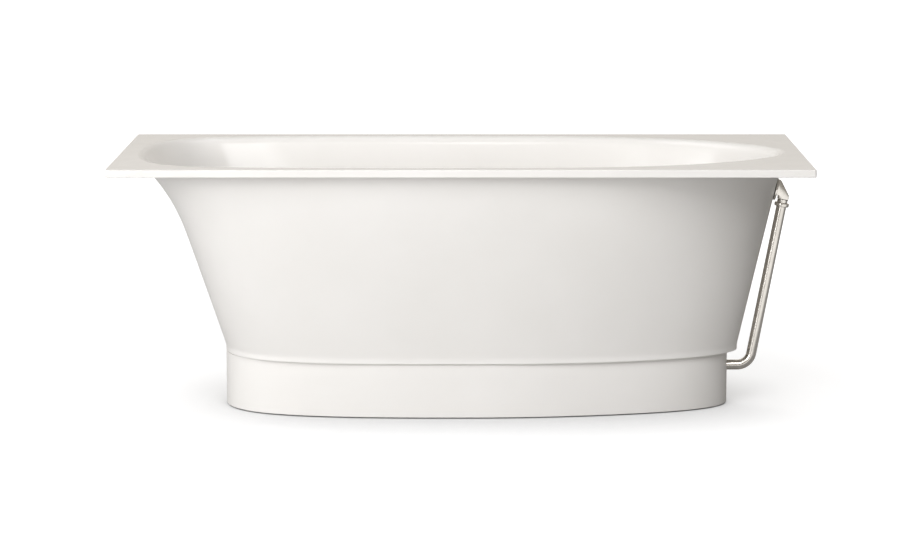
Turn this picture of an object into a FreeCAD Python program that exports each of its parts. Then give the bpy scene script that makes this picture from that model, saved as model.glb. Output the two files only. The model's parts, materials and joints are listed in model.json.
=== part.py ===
import FreeCAD, Part
import os
import Sketcher
from FreeCAD import Placement, Rotation, Vector

# Built-in style bathtub: a cast mineral basin with a flat rectangular deck, on an oval plinth, with an
# exposed overflow pipe. Origin at floor level under the centre of the deck, +X towards the overflow end
# (the nose), +Z up, millimetres.

# ------------------------------------------------------------------ driving sizes
SIZES = {
    # overall
    "deck_length": 1700.0,
    "deck_width": 750.0,
    "bath_height": 640.0,
    "deck_edge": 19.0,              # height of the deck's visible edge
    "deck_corner": 5.0,             # plan radius of the deck's corners
    "deck_softening": 2.0,          # rounding along the deck's top and bottom edges
    # levels under the basin
    "foot_gap": 3.0,                # daylight under the plinth
    "plinth_height": 134.0,
    "bead_height": 1.5,             # jointing bead between plinth and basin
    "band_height": 13.5,            # upright band at the foot of the basin
    "recess_depth": 11.5,           # hollow in the basin's underside
    "floor_thickness": 20.0,
    # how far the basin's outside stays inside the deck's edges, at the deck's underside
    "toe_margin": 53.0,
    "nose_margin": 45.0,
    "side_margin": 43.0,
    # how far the outside leans out between the band and the deck's underside
    "toe_lean": 157.0,
    "toe_flare": 46.0,              # extra curl under the deck at the toe end
    "nose_slope": 12.97,            # degrees from upright
    "beam_lean": 109.0,
    # basin outline: bluntness of the ends, and the length over which each end tapers
    "toe_fullness": 0.8,
    "top_nose_fullness": 0.467,
    "base_nose_fullness": 0.68,
    "top_nose_taper": 347.0,
    "base_nose_taper": 452.0,
    "top_toe_taper": 212.0,
    "base_toe_taper": 297.0,
    "top_toe_round": 30.0,
    "base_toe_round": 62.0,
    "top_nose_round": 52.0,
    "base_nose_round": 105.0,
    # basin inside
    "wall": 17.0,
    "lip_round": 26.0,
    "floor_round": 45.0,
    # plinth, set back from the basin's foot
    "plinth_nose_setback": 25.0,
    "plinth_side_setback": 9.0,
    "plinth_nose_fullness": 0.635,
    "plinth_nose_taper": 476.0,
    "plinth_toe_taper": 350.0,
    "plinth_toe_round": 63.0,
    "plinth_nose_round": 73.0,
    "plinth_wall": 16.0,
    "plinth_softening": 1.5,
    "bead_setback": 3.0,
    "bead_width": 9.0,
    "ledge": 6.0,                   # how far the basin's foot reaches inside the plinth wall
    # levelling feet, placed from the basin's foot
    "foot_toe_inset": 194.0,
    "foot_nose_inset": 317.0,
    "foot_side_inset": 113.0,
    "block_side": 50.0,
    "block_height": 28.0,
    "insert_radius": 8.0,
    "insert_length": 26.0,
    "stud_radius": 6.0,
    "stud_end_gap": 6.0,            # from the stud's top to the basin's underside
    "stud_foot": 5.2,
    "spanner_flats": 19.0,          # across the flats of the stud's collar and of the locknut
    "stud_collar_height": 6.0,
    "locknut_height": 10.0,
    "pad_radius": 25.0,
    "pad_height": 12.0,
    "pad_edge": 4.0,
    "pad_neck": 10.0,
    # waste
    "waste_inset": 227.0,           # from the basin's foot at the nose
    "waste_recess_depth": 5.0,
    "upper_gasket_height": 1.5,
    "lower_gasket_height": 3.5,
    "flange_radius": 36.0,
    "flange_rise": 0.5,             # height of the flange's rim over the basin floor
    "flange_tail": 24.0,            # radius of its threaded tail
    "tail_wall": 3.5,
    "dish_width": 5.5,
    "throat_depth": 6.0,
    "tail_gap": 2.0,                # left between the tail's end and the shoulder in the tee
    "strainer_bar": 3.0,
    "hub_lift": 6.0,
    "hub_height": 24.0,
    "hub_wall": 3.0,
    "barrel_bore": 5.6,
    "barrel_wall": 1.4,
    "barrel_collar_width": 2.0,
    "barrel_collar_height": 4.0,
    "barrel_rise": 6.0,             # height of the barrel above the hub
    "guide_height": 6.0,
    "stem_radius": 4.0,
    "stem_collar_height": 3.5,
    "plug_travel": 9.0,
    "spring_wire": 0.5,
    "spring_gap": 0.5,
    "spring_turns": 5.0,
    "cap_radius": 30.0,
    "cap_gap": 0.5,                 # between the closed cap and the flange's rim
    "cap_edge": 1.5,
    "cap_crown": 2.0,
    "cap_boss": 7.0,
    "cap_boss_depth": 4.0,
    "seal_inner": 17.0,
    "seal_height": 2.9,
    "seal_bevel": 1.6,
    # tee under the basin
    "tee_rim": 38.0,
    "tee_rim_height": 3.5,
    "tee_radius": 29.0,
    "tee_thread_depth": 30.5,
    "tee_bore": 21.0,
    "spigot_radius": 24.0,
    "spigot_length": 16.0,
    "inlet_depth": 54.0,            # from the basin's underside to the side inlet's axis
    "inlet_reach": 62.0,
    "inlet_radius": 18.0,
    "inlet_bore": 11.0,
    "inlet_grip": 24.0,             # length of overflow tube held in the inlet
    "inlet_nut_length": 22.0,
    "inlet_nut_wall": 4.0,
    "inlet_washer_length": 5.5,
    "outlet_nut_wall": 6.0,
    "outlet_nut_gap": 2.0,          # between the nut and the tee above it
    "nut_lip": 4.0,
    "outlet_washer_height": 2.5,
    "outlet_radius": 20.0,
    "outlet_wall": 3.0,
    "outlet_neck_step": 1.0,        # the pipe is this much thicker in the nut than at its free end
    "outlet_neck_drop": 1.5,        # length of that neck below the nut
    "outlet_collar_height": 2.3,
    "outlet_free_end": 16.0,        # height of the outlet pipe's lower end over the floor
    # overflow
    "overflow_drop": 95.0,          # from the deck's top down to the overflow
    "overflow_hole": 16.0,
    "spot_depth": 2.5,
    "inner_spot_depth": 2.0,
    "overflow_gasket_width": 9.5,
    "overflow_gasket_height": 2.0,
    "elbow_flange_radius": 28.0,
    "elbow_flange_height": 5.0,
    "elbow_step": 0.3,              # how much wider the elbow's end is than the pipe, on the radius
    "elbow_shoulder_reach": 11.0,
    "elbow_knee": 10.5,             # depth of the elbow's outer corner under the overflow axis
    "elbow_drop": 33.0,
    "elbow_crotch": 14.0,
    "elbow_wall": 2.5,
    "elbow_softening": 2.5,
    "elbow_bar": 3.0,
    "elbow_boss": 6.0,
    "elbow_boss_depth": 8.0,
    "collar_wall": 2.9,
    "collar_height": 9.5,
    "collar_overlap": 2.0,
    "collar_chamfer": 2.5,
    "collar_lip": 2.5,
    "collar_washer_width": 2.8,
    "tube_radius": 12.7,
    "tube_wall": 1.5,
    "tube_standoff": 24.5,          # pipe axis off the basin's outside at the overflow
    "tube_splay": 2.37,             # how much steeper the pipe is than the nose, degrees
    "tube_bend": 36.0,
    "cover_radius": 31.0,
    "cover_depth": 9.5,
    "cover_skin": 2.0,
    "cover_slots": 12.0,
    "cover_slot_width": 6.0,
    "cover_slot_depth": 4.5,
    "screw_radius": 3.0,
    "screw_head": 5.5,
    "screw_head_height": 2.2,
    "screw_slot": 1.4,
    "screw_end_gap": 1.5,           # from the screw's tip to the end of its tapped hole
    # clearances, each on the radius or on one face
    "thread_clearance": 0.08,
    "running_clearance": 0.06,
    "seat_clearance": 0.3,
    "pass_clearance": 0.8,          # around the pipe where it goes through the plinth
    "seat_margin": 2.0,             # of a recess around the flange that sits in it
    "hole_margin": 2.0,             # of a hole around the tail that passes it
}

STATIONS = (0.0, 0.3, 0.6, 0.8, 0.92, 1.0)     # share of the height from the band to the deck
FLARE_START = 0.6
FLARE_POWER = 2.4

doc = FreeCAD.newDocument("alcove_bathtub")
sheet = doc.addObject("Spreadsheet::Sheet", "Sizes")
for row, (alias, size) in enumerate(SIZES.items(), start=1):
    sheet.set(f"A{row}", str(size))
    sheet.setAlias(f"A{row}", alias)
doc.recompute()


def cell(name):
    return f"Sizes.{name}"


def value(expression):
    return float(sheet.evalExpression(str(expression)))


# levels, as expressions of the sheet
PLINTH_TOP = f"({cell('foot_gap')} + {cell('plinth_height')})"
SHELL_BASE = f"({PLINTH_TOP} + {cell('bead_height')})"
BAND_TOP = f"({SHELL_BASE} + {cell('band_height')})"
UNDERSIDE = f"({SHELL_BASE} + {cell('recess_depth')})"
FLOOR = f"({UNDERSIDE} + {cell('floor_thickness')})"
DECK_UNDER = f"({cell('bath_height')} - {cell('deck_edge')})"
WALL_RISE = f"({DECK_UNDER} - {BAND_TOP})"

# outline of the basin at its foot and of the plinth, worked in from the deck's edges
NOSE_LEAN = f"({WALL_RISE} * tan({cell('nose_slope')}))"
BASE_TOE = f"({cell('deck_length')} / 2 - {cell('toe_margin')} - {cell('toe_lean')} - {cell('toe_flare')})"
BASE_NOSE = f"({cell('deck_length')} / 2 - {cell('nose_margin')} - {NOSE_LEAN})"
BASE_BEAM = f"({cell('deck_width')} / 2 - {cell('side_margin')} - {cell('beam_lean')})"
PLINTH_NOSE = f"({BASE_NOSE} - {cell('plinth_nose_setback')})"
PLINTH_BEAM = f"({BASE_BEAM} - {cell('plinth_side_setback')})"
WASTE_X = f"({BASE_NOSE} - {cell('waste_inset')})"
RUN_LEVEL = f"({UNDERSIDE} - {cell('inlet_depth')})"         # of the overflow pipe's level run
TUBE_RAKE = f"({cell('nose_slope')} - {cell('tube_splay')})"   # lean of the pipe from upright
OVERFLOW_LEVEL = f"({cell('bath_height')} - {cell('overflow_drop')})"


# ------------------------------------------------------------------ drawing helpers
def new_body(label, x="0", y="0", z="0"):
    """A body whose own origin stands at x, y, z of the bath."""
    body = doc.addObject("PartDesign::Body", label)
    body.Label = label
    for axis, place in zip("xyz", (x, y, z)):
        body.setExpression(f"Placement.Base.{axis}", str(place))
    return body


def origin_plane(body, role):
    return next(item for item in body.Origin.OriginFeatures if item.Role == role)


def new_sketch(body, name, role="XY_Plane", lift="0", shift="0", rise="0", turn="0"):
    """A sketch on one of the body's planes: lift along its normal, shift, rise and turn within it."""
    sketch = body.newObject("Sketcher::SketchObject", name)
    sketch.AttachmentSupport = (origin_plane(body, role), [""])
    sketch.MapMode = "FlatFace"
    sketch.AttachmentOffset = Placement(Vector(), Rotation(Vector(0, 0, 1), 1.0))
    for path, amount in (("Base.x", shift), ("Base.y", rise), ("Base.z", lift), ("Rotation.Angle", turn)):
        sketch.setExpression(f"AttachmentOffset.{path}", str(amount))
    return sketch


def bind(sketch, constraints):
    """Adds (constraint arguments, expression) pairs and ties each to its expression."""
    for arguments, expression in constraints:
        index = sketch.addConstraint(Sketcher.Constraint(*arguments, value(expression)))
        sketch.setExpression(f"Constraints[{index}]", str(expression))


def place_point(sketch, geometry, end, x, y):
    bind(sketch, [(("DistanceX", -1, 1, geometry, end), x), (("DistanceY", -1, 1, geometry, end), y)])


def add_polygon(sketch, points):
    """A closed outline of straight lines through points given as pairs of expressions."""
    corners = [Vector(value(x), value(y), 0) for x, y in points]
    first = sketch.GeometryCount
    count = len(corners)
    for i in range(count):
        sketch.addGeometry(Part.LineSegment(corners[i], corners[(i + 1) % count]))
    for i in range(count):
        sketch.addConstraint(Sketcher.Constraint("Coincident", first + i, 2, first + (i + 1) % count, 1))
    for i, (x, y) in enumerate(points):
        place_point(sketch, first + i, 1, x, y)


def add_circle(sketch, radius, x="0", y="0"):
    centre = Vector(value(x), value(y), 0)
    circle = sketch.addGeometry(Part.Circle(centre, Vector(0, 0, 1), value(radius)))
    place_point(sketch, circle, 3, x, y)
    bind(sketch, [(("Radius", circle), radius)])


def rectangle(width, depth):
    """Corners of a rectangle centred on the sketch's origin."""
    half_w, half_d = f"({width}) / 2", f"({depth}) / 2"
    return [(f"-{half_w}", f"-{half_d}"), (half_w, f"-{half_d}"), (half_w, half_d), (f"-{half_w}", half_d)]


def hexagon(flats):
    """Corners of a hexagon with the given distance across its flats."""
    reach = f"({flats}) / sqrt(3)"
    return [(f"{reach} * cos({60 * i})", f"{reach} * sin({60 * i})") for i in range(6)]


def add_oval(sketch, toe, nose, beam, nose_fullness, nose_taper, toe_taper, toe_round, nose_round):
    """A closed smooth oval: blunt toe at -X, rounded nose at +X, straight for a while along its sides."""
    fore, aft = f"(({nose}) - ({nose_taper}))", f"(({toe}) - ({toe_taper}))"
    half = [
        (f"({nose}) + ({nose_round}) / 2", "0"),
        (f"({nose}) - ({nose_round})", f"({nose_fullness}) * ({beam})"),
        (fore, beam),
        (f"({fore} - {aft}) / 2", beam),
        (f"-{aft}", beam),
        (f"-({toe}) + ({toe_round})", f"{cell('toe_fullness')} * ({beam})"),
        (f"-({toe}) - ({toe_round}) / 2", "0"),
    ]
    control = half + [(x, f"-({y})") for x, y in half[-2:0:-1]]
    poles = [Vector(value(x), value(y), 0) for x, y in control]
    count = len(poles)
    curve = Part.BSplineCurve()
    curve.buildFromPolesMultsKnots(poles, [1] * (count + 1), list(range(count + 1)), True, 3)
    sketch.addGeometry(curve)
    for pole in poles:
        sketch.addGeometry(Part.Circle(pole, Vector(0, 0, 1), 10.0), True)
    sketch.addConstraint(Sketcher.Constraint("Weight", 1, 1.0))
    for i in range(1, count):
        sketch.addConstraint(Sketcher.Constraint("Equal", 1, i + 1))
    for i in range(count):
        alignment = "InternalAlignment:Sketcher::BSplineControlPoint"
        sketch.addConstraint(Sketcher.Constraint(alignment, i + 1, 3, 0, i))
    for i, (x, y) in enumerate(control):
        place_point(sketch, i + 1, 3, x, y)


def feature(body, kind, name, profile, **settings):
    """A feature of the body made from a profile; text settings are expressions."""
    item = body.newObject(f"PartDesign::{kind}", name)
    item.Profile = profile
    for key, setting in settings.items():
        if isinstance(setting, str):
            item.setExpression(key, setting)
        else:
            setattr(item, key, setting)
    return item


def pad(body, name, profile, length, **settings):
    return feature(body, "Pad", name, profile, Length=str(length), **settings)


def cut(body, name, profile, length, **settings):
    """A pocket that has to take material away."""
    doc.recompute()
    before = body.Shape.Volume
    item = feature(body, "Pocket", name, profile, Length=str(length), **settings)
    check_smaller(body, name, before)
    return item


def check_smaller(body, name, before):
    doc.recompute()
    if body.Shape.Volume >= before - 0.01:
        raise RuntimeError(f"{body.Label}: {name} removes nothing")


def turned(body, name, points, role="XZ_Plane", axis="V_Axis", **place):
    """A solid of revolution about the sketch's own vertical (or horizontal) axis."""
    profile = new_sketch(body, f"{name}_profile", role, **place)
    add_polygon(profile, points)
    return feature(body, "Revolution", name, profile, ReferenceAxis=(profile, [axis]), Angle=360.0)


def turned_cut(body, name, points, role="XZ_Plane", axis="V_Axis", **place):
    doc.recompute()
    before = body.Shape.Volume
    profile = new_sketch(body, f"{name}_profile", role, **place)
    add_polygon(profile, points)
    item = feature(body, "Groove", name, profile, ReferenceAxis=(profile, [axis]), Angle=360.0)
    check_smaller(body, name, before)
    return item


def ring(label, inner, outer, low, high, axis="V_Axis", **place):
    """A plain washer or gasket between two radii and two levels along its axis."""
    body = new_body(label, **place)
    corners = [(inner, low), (outer, low), (outer, high), (inner, high)]
    if axis == "H_Axis":
        corners = [(along, radius) for radius, along in corners]
    turned(body, "ring", corners, axis=axis)
    return body


def edges_where(shape, test):
    return [f"Edge{i}" for i, edge in enumerate(shape.Edges, start=1) if test(edge)]


def edge_middles(body):
    """Names of the body's edges with their middles, seen from the body's own origin."""
    home = body.Placement.inverse()
    return [(f"Edge{i}", home.multVec(edge.CenterOfMass)) for i, edge in enumerate(body.Shape.Edges, start=1)]


def soften(body, kind, name, edges, size, key="Radius"):
    """Rounds or chamfers the chosen edges of the body's tip."""
    base = body.Tip
    item = body.newObject(f"PartDesign::{kind}", name)
    item.Base = (base, edges)
    item.setExpression(key, str(size))
    doc.recompute()
    return item


def level_edge(edge, level, low=0.0, high=1e9):
    """True for an edge that lies flat at a level and whose length is between two limits."""
    box = edge.BoundBox
    flat = abs(box.ZMin - level) < 0.01 and abs(box.ZMax - level) < 0.01
    return flat and low < edge.Length < high


# ------------------------------------------------------------------ basin
def shell_oval(body, name, share, inset="0", level=None):
    """Outline of the basin at a share of the height from the band to the deck."""
    flare = max(0.0, (share - FLARE_START) / (1 - FLARE_START)) ** FLARE_POWER
    sketch = new_sketch(body, name, lift=level or f"{BAND_TOP} + {WALL_RISE} * {share}")

    def blend(low, high):
        return f"{cell(low)} + ({cell(high)} - {cell(low)}) * {share}"

    def end(taper):
        """Length of an end's taper; the straight stretch of an inset outline stays where it is."""
        return f"{blend('base_' + taper, 'top_' + taper)} - {inset}"

    add_oval(
        sketch,
        toe=f"{BASE_TOE} + {cell('toe_lean')} * {share} + {cell('toe_flare')} * {flare} - {inset}",
        nose=f"{BASE_NOSE} + {NOSE_LEAN} * {share} - {inset}",
        beam=f"{BASE_BEAM} + {cell('beam_lean')} * {share} - {inset}",
        nose_fullness=blend("base_nose_fullness", "top_nose_fullness"),
        nose_taper=end("nose_taper"),
        toe_taper=end("toe_taper"),
        toe_round=blend("base_toe_round", "top_toe_round"),
        nose_round=blend("base_nose_round", "top_nose_round"),
    )
    return sketch


def plinth_oval(body, name, level, inset="0"):
    sketch = new_sketch(body, name, lift=level)
    add_oval(
        sketch,
        toe=f"{BASE_TOE} - {inset}",
        nose=f"{PLINTH_NOSE} - {inset}",
        beam=f"{PLINTH_BEAM} - {inset}",
        nose_fullness=cell("plinth_nose_fullness"),
        nose_taper=f"{cell('plinth_nose_taper')} - {inset}",
        toe_taper=f"{cell('plinth_toe_taper')} - {inset}",
        toe_round=cell("plinth_toe_round"),
        nose_round=cell("plinth_nose_round"),
    )
    return sketch


# where the overflow pierces the nose: a point on the outside, with its axis square to the pipe
OVERFLOW_X = f"({BASE_NOSE} + ({OVERFLOW_LEVEL} - {BAND_TOP}) * tan({cell('nose_slope')}))"
SPOT_RADIUS = f"({cell('elbow_flange_radius')} + {cell('seat_margin')})"
INNER_SPOT_RADIUS = f"({cell('cover_radius')} + {cell('seat_margin')})"
INSIDE_SEAT = f"(-{cell('wall')} * cos({cell('nose_slope')}) + {cell('inner_spot_depth')})"
WASTE_HOLE = f"({cell('flange_tail')} + {cell('hole_margin')})"


def make_bath_shell():
    body = new_body("bath_shell")
    wall = cell("wall")

    base = shell_oval(body, "band_outline", 0.0, level=SHELL_BASE)
    pad(body, "band", base, cell("band_height"))
    outer = [shell_oval(body, f"outer_{i}", share) for i, share in enumerate(STATIONS)]
    doc.recompute()
    feature(body, "AdditiveLoft", "outside", outer[0], Sections=outer[1:])

    deck = new_sketch(body, "deck_outline", lift=DECK_UNDER)
    add_polygon(deck, rectangle(cell("deck_length"), cell("deck_width")))
    pad(body, "deck", deck, cell("deck_edge"))
    doc.recompute()
    half_length = value(cell("deck_length")) / 2
    corners = edges_where(body.Shape, lambda edge: (
        abs(abs(edge.BoundBox.XMin) - half_length) < 0.01
        and abs(edge.BoundBox.XLength) < 0.01
        and abs(edge.BoundBox.YLength) < 0.01))
    soften(body, "Fillet", "deck_corners", corners, cell("deck_corner"))

    before = body.Shape.Volume
    floor_share = value(f"({FLOOR} - {BAND_TOP}) / {WALL_RISE}")
    rim_share = value(f"({cell('bath_height')} - {BAND_TOP}) / {WALL_RISE}")
    inner = [shell_oval(body, "floor_outline", floor_share, wall, FLOOR)]
    inner += [shell_oval(body, f"inner_{i}", share, wall) for i, share in enumerate(STATIONS[1:-1])]
    inner.append(shell_oval(body, "rim_outline", rim_share, wall, cell("bath_height")))
    doc.recompute()
    feature(body, "SubtractiveLoft", "basin", inner[0], Sections=inner[1:])
    check_smaller(body, "basin", before)

    rim = value(cell("bath_height"))
    length = value(cell("deck_length"))
    floor = value(FLOOR)
    opening = edges_where(body.Shape, lambda edge: level_edge(edge, rim, low=1.2 * length))
    soften(body, "Fillet", "lip", opening, cell("lip_round"))
    foot = edges_where(body.Shape, lambda edge: level_edge(edge, floor, low=length))
    soften(body, "Fillet", "floor_corner", foot, cell("floor_round"))

    recess = plinth_oval(body, "recess_outline", SHELL_BASE, f"({cell('plinth_wall')} + {cell('ledge')})")
    cut(body, "underside_recess", recess, cell("recess_depth"), Reversed=True)

    hole, depth = WASTE_HOLE, cell("waste_recess_depth")
    seat = f"{cell('flange_radius')} + {cell('seat_margin')}"
    turned_cut(body, "waste_seat", [
        ("0", f"-{cell('floor_thickness')} - 1"), (hole, f"-{cell('floor_thickness')} - 1"),
        (hole, f"-{depth}"), (seat, f"-{depth}"), (seat, "1"), ("0", "1"),
    ], shift=WASTE_X, rise=FLOOR)

    # two flat seats and the bore between them, square to the overflow pipe
    outside, hole = f"-{cell('spot_depth')}", cell("overflow_hole")
    turned_cut(body, "overflow_seats", [
        (f"-2 * {wall}", "0"), (wall, "0"), (wall, SPOT_RADIUS), (outside, SPOT_RADIUS), (outside, hole),
        (INSIDE_SEAT, hole), (INSIDE_SEAT, INNER_SPOT_RADIUS), (f"-2 * {wall}", INNER_SPOT_RADIUS),
    ], axis="H_Axis", shift=OVERFLOW_X, rise=OVERFLOW_LEVEL, turn=f"-{TUBE_RAKE}")

    doc.recompute()
    under = value(DECK_UNDER)
    deck_rims = edges_where(body.Shape, lambda edge: (
        (level_edge(edge, rim) or level_edge(edge, under))
        and max(-edge.BoundBox.XMin, edge.BoundBox.XMax) > half_length - 10))
    soften(body, "Fillet", "deck_softening", deck_rims, cell("deck_softening"))
    return body


def make_plinth_ring():
    body = new_body("plinth_ring")
    outline = plinth_oval(body, "outline", cell("foot_gap"))
    pad(body, "block", outline, cell("plinth_height"))
    hollow = plinth_oval(body, "hollow_outline", cell("foot_gap"), cell("plinth_wall"))
    cut(body, "hollow", hollow, cell("plinth_height"), Reversed=True)
    middle = f"{PLINTH_NOSE} - {cell('plinth_wall')} / 2"
    hole = new_sketch(body, "pipe_hole_outline", "YZ_Plane", lift=middle)
    add_circle(hole, f"{cell('tube_radius')} + {cell('pass_clearance')}", "0", RUN_LEVEL)
    cut(body, "pipe_hole", hole, f"4 * {cell('plinth_wall')}", Midplane=True)
    low, high = value(cell("foot_gap")), value(PLINTH_TOP)
    beam = value(PLINTH_BEAM)
    outer = edges_where(body.Shape, lambda edge: (
        (level_edge(edge, low) or level_edge(edge, high)) and edge.BoundBox.YMax > beam - 0.5))
    soften(body, "Fillet", "softening", outer, cell("plinth_softening"))
    return body


def make_plinth_bead():
    body = new_body("plinth_bead")
    outline = plinth_oval(body, "outline", PLINTH_TOP, cell("bead_setback"))
    pad(body, "layer", outline, cell("bead_height"))
    inside = f"({cell('bead_setback')} + {cell('bead_width')})"
    hollow = plinth_oval(body, "hollow_outline", PLINTH_TOP, inside)
    cut(body, "hollow", hollow, cell("bead_height"), Reversed=True)
    return body


# ------------------------------------------------------------------ levelling feet
FOOT_TOE = f"-({BASE_TOE} - {cell('foot_toe_inset')})"
FOOT_NOSE = f"({BASE_NOSE} - {cell('foot_nose_inset')})"
FOOT_SIDE = f"({BASE_BEAM} - {cell('foot_side_inset')})"
FEET = {
    "toe_front": (FOOT_TOE, f"-{FOOT_SIDE}"),
    "toe_back": (FOOT_TOE, FOOT_SIDE),
    "nose_front": (FOOT_NOSE, f"-{FOOT_SIDE}"),
    "nose_back": (FOOT_NOSE, FOOT_SIDE),
}
STUD_HOLE = f"({cell('stud_radius')} + {cell('thread_clearance')})"


def make_foot_block(corner, x, y):
    """Block bonded under the basin, bored for the threaded insert."""
    body = new_body(f"foot_block_{corner}", x, y, UNDERSIDE)
    outline = new_sketch(body, "outline", lift=f"-{cell('block_height')}")
    add_polygon(outline, rectangle(cell("block_side"), cell("block_side")))
    pad(body, "block", outline, cell("block_height"))
    bore = new_sketch(body, "bore_outline", lift=f"-{cell('block_height')}")
    add_circle(bore, f"{cell('insert_radius')} + {cell('running_clearance')}")
    cut(body, "bore", bore, cell("insert_length"), Reversed=True)
    return body


def make_foot_stud(corner, x, y):
    """Threaded stud with a spanner collar above the pad."""
    body = new_body(f"foot_stud_{corner}", x, y)
    shank = new_sketch(body, "shank_outline", lift=cell("stud_foot"))
    add_circle(shank, cell("stud_radius"))
    pad(body, "shank", shank, f"{UNDERSIDE} - {cell('stud_end_gap')} - {cell('stud_foot')}")
    collar = new_sketch(body, "collar_outline", lift=f"{cell('pad_height')} + {cell('thread_clearance')}")
    add_polygon(collar, hexagon(cell("spanner_flats")))
    pad(body, "collar", collar, cell("stud_collar_height"))
    return body


def make_foot_pad(corner, x, y):
    body = new_body(f"foot_pad_{corner}", x, y)
    turned(body, "pad", [
        ("0", "0"), (cell("pad_radius"), "0"), (cell("pad_radius"), cell("pad_edge")),
        (cell("pad_neck"), cell("pad_height")), (STUD_HOLE, cell("pad_height")),
        (STUD_HOLE, f"{cell('stud_foot')} - {cell('thread_clearance')}"),
        ("0", f"{cell('stud_foot')} - {cell('thread_clearance')}"),
    ])
    return body


def fastener_set(label, outer_kind, outer_sizes, height, level):
    """One bored fastener at each foot, kept together as a set."""
    copies = []
    for corner, (x, y) in FEET.items():
        outside = doc.addObject(f"Part::{outer_kind}", f"{label}_outside_{corner}")
        for key, size in outer_sizes.items():
            outside.setExpression(key, size)
        outside.setExpression("Height", height)
        bore = doc.addObject("Part::Cylinder", f"{label}_bore_{corner}")
        bore.setExpression("Radius", STUD_HOLE)
        bore.setExpression("Height", height)
        piece = doc.addObject("Part::Cut", f"{label}_{corner}")
        piece.Base, piece.Tool = outside, bore
        for axis, place in zip("xyz", (x, y, level)):
            piece.setExpression(f"Placement.Base.{axis}", place)
        copies.append(piece)
    group = doc.addObject("Part::Compound", label)
    group.Label = label
    group.Links = copies
    return group


def make_foot_inserts():
    level = f"{UNDERSIDE} - {cell('block_height')}"
    return fastener_set("foot_inserts", "Cylinder", {"Radius": cell("insert_radius")},
                        f"{cell('insert_length')} - {cell('running_clearance')}", level)


def make_foot_locknuts():
    """Hexagon nuts tightened up against the blocks."""
    level = f"{UNDERSIDE} - {cell('block_height')} - {cell('locknut_height')}"
    return fastener_set("foot_locknuts", "Prism", {"Circumradius": f"{cell('spanner_flats')} / sqrt(3)"},
                        cell("locknut_height"), level)


# ------------------------------------------------------------------ waste and plug
AT_FLOOR = {"x": WASTE_X, "z": FLOOR}
AT_UNDERSIDE = {"x": WASTE_X, "z": UNDERSIDE}
FLANGE_SEAT = f"(-{cell('waste_recess_depth')} + {cell('upper_gasket_height')})"
THROAT = f"({cell('flange_tail')} - {cell('tail_wall')})"
DISH_RIM = f"({THROAT} + {cell('dish_width')})"
DISH_SLOPE = f"({cell('dish_width')} / ({cell('flange_rise')} + {cell('throat_depth')}))"
TEE_HIGH = f"(-{cell('lower_gasket_height')})"
TEE_SHOULDER = f"({TEE_HIGH} - {cell('tee_thread_depth')})"
TAIL_LOW = f"({TEE_SHOULDER} - {cell('floor_thickness')} + {cell('tail_gap')})"
HUB_LOW = f"({TAIL_LOW} + {cell('hub_lift')})"
HUB_HIGH = f"({HUB_LOW} + {cell('hub_height')})"
BARREL = f"({cell('barrel_bore')} + {cell('barrel_wall')})"
BARREL_LOW = f"({HUB_LOW} - {cell('barrel_collar_height')})"
BARREL_HIGH = f"({HUB_HIGH} + {cell('barrel_rise')})"
GUIDE_LOW = f"({BARREL_HIGH} - {cell('guide_height')})"
STEM_COLLAR_HIGH = f"({GUIDE_LOW} - {cell('plug_travel')} - 1)"
STEM_COLLAR_LOW = f"({STEM_COLLAR_HIGH} - {cell('stem_collar_height')})"
CAP_LOW = f"({cell('flange_rise')} + {cell('cap_gap')})"
SEAL_LOW = f"({CAP_LOW} - {cell('seal_height')})"


def make_waste_gasket_upper():
    return ring("waste_gasket_upper", f"{WASTE_HOLE} + 0.5", f"{cell('flange_radius')} - 1",
                f"-{cell('waste_recess_depth')}", FLANGE_SEAT, **AT_FLOOR)


def make_waste_gasket_lower():
    return ring("waste_gasket_lower", f"{WASTE_HOLE} + 0.5", f"{cell('tee_rim')} - 1",
                f"-{cell('lower_gasket_height')}", "0", **AT_UNDERSIDE)


def make_waste_flange():
    """Dished flange with a threaded tail and a cross that holds the plug's barrel."""
    body = new_body("waste_flange", **AT_FLOOR)
    edge, tail, rise = cell("flange_radius"), cell("flange_tail"), cell("flange_rise")
    turned(body, "dish_and_tail", [
        (tail, FLANGE_SEAT), (edge, FLANGE_SEAT), (edge, "0"), (f"{edge} - 1", rise), (DISH_RIM, rise),
        (THROAT, f"-{cell('throat_depth')}"), (THROAT, TAIL_LOW), (tail, TAIL_LOW),
    ])
    bar = new_sketch(body, "bar_outline", lift=HUB_LOW)
    half = f"{cell('strainer_bar')} / 2"
    radius = f"({BARREL} + {cell('hub_wall')})"
    inner, outer = f"{radius} - 1", f"{THROAT} + 1"
    add_polygon(bar, [(inner, f"-{half}"), (outer, f"-{half}"), (outer, half), (inner, half)])
    hub = new_sketch(body, "hub_outline", lift=HUB_LOW)
    add_circle(hub, radius)
    arm = pad(body, "arm", bar, cell("hub_height"))
    doc.recompute()
    arms = body.newObject("PartDesign::PolarPattern", "arms")
    arms.Originals = [arm]
    arms.Axis = (bar, ["N_Axis"])
    arms.Angle = 360.0
    arms.Occurrences = 4
    body.Tip = arms
    pad(body, "hub", hub, cell("hub_height"))
    bore = new_sketch(body, "hub_bore_outline", lift=HUB_LOW)
    add_circle(bore, f"{BARREL} + {cell('running_clearance')}")
    cut(body, "hub_bore", bore, cell("hub_height"), Reversed=True)
    return body


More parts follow.
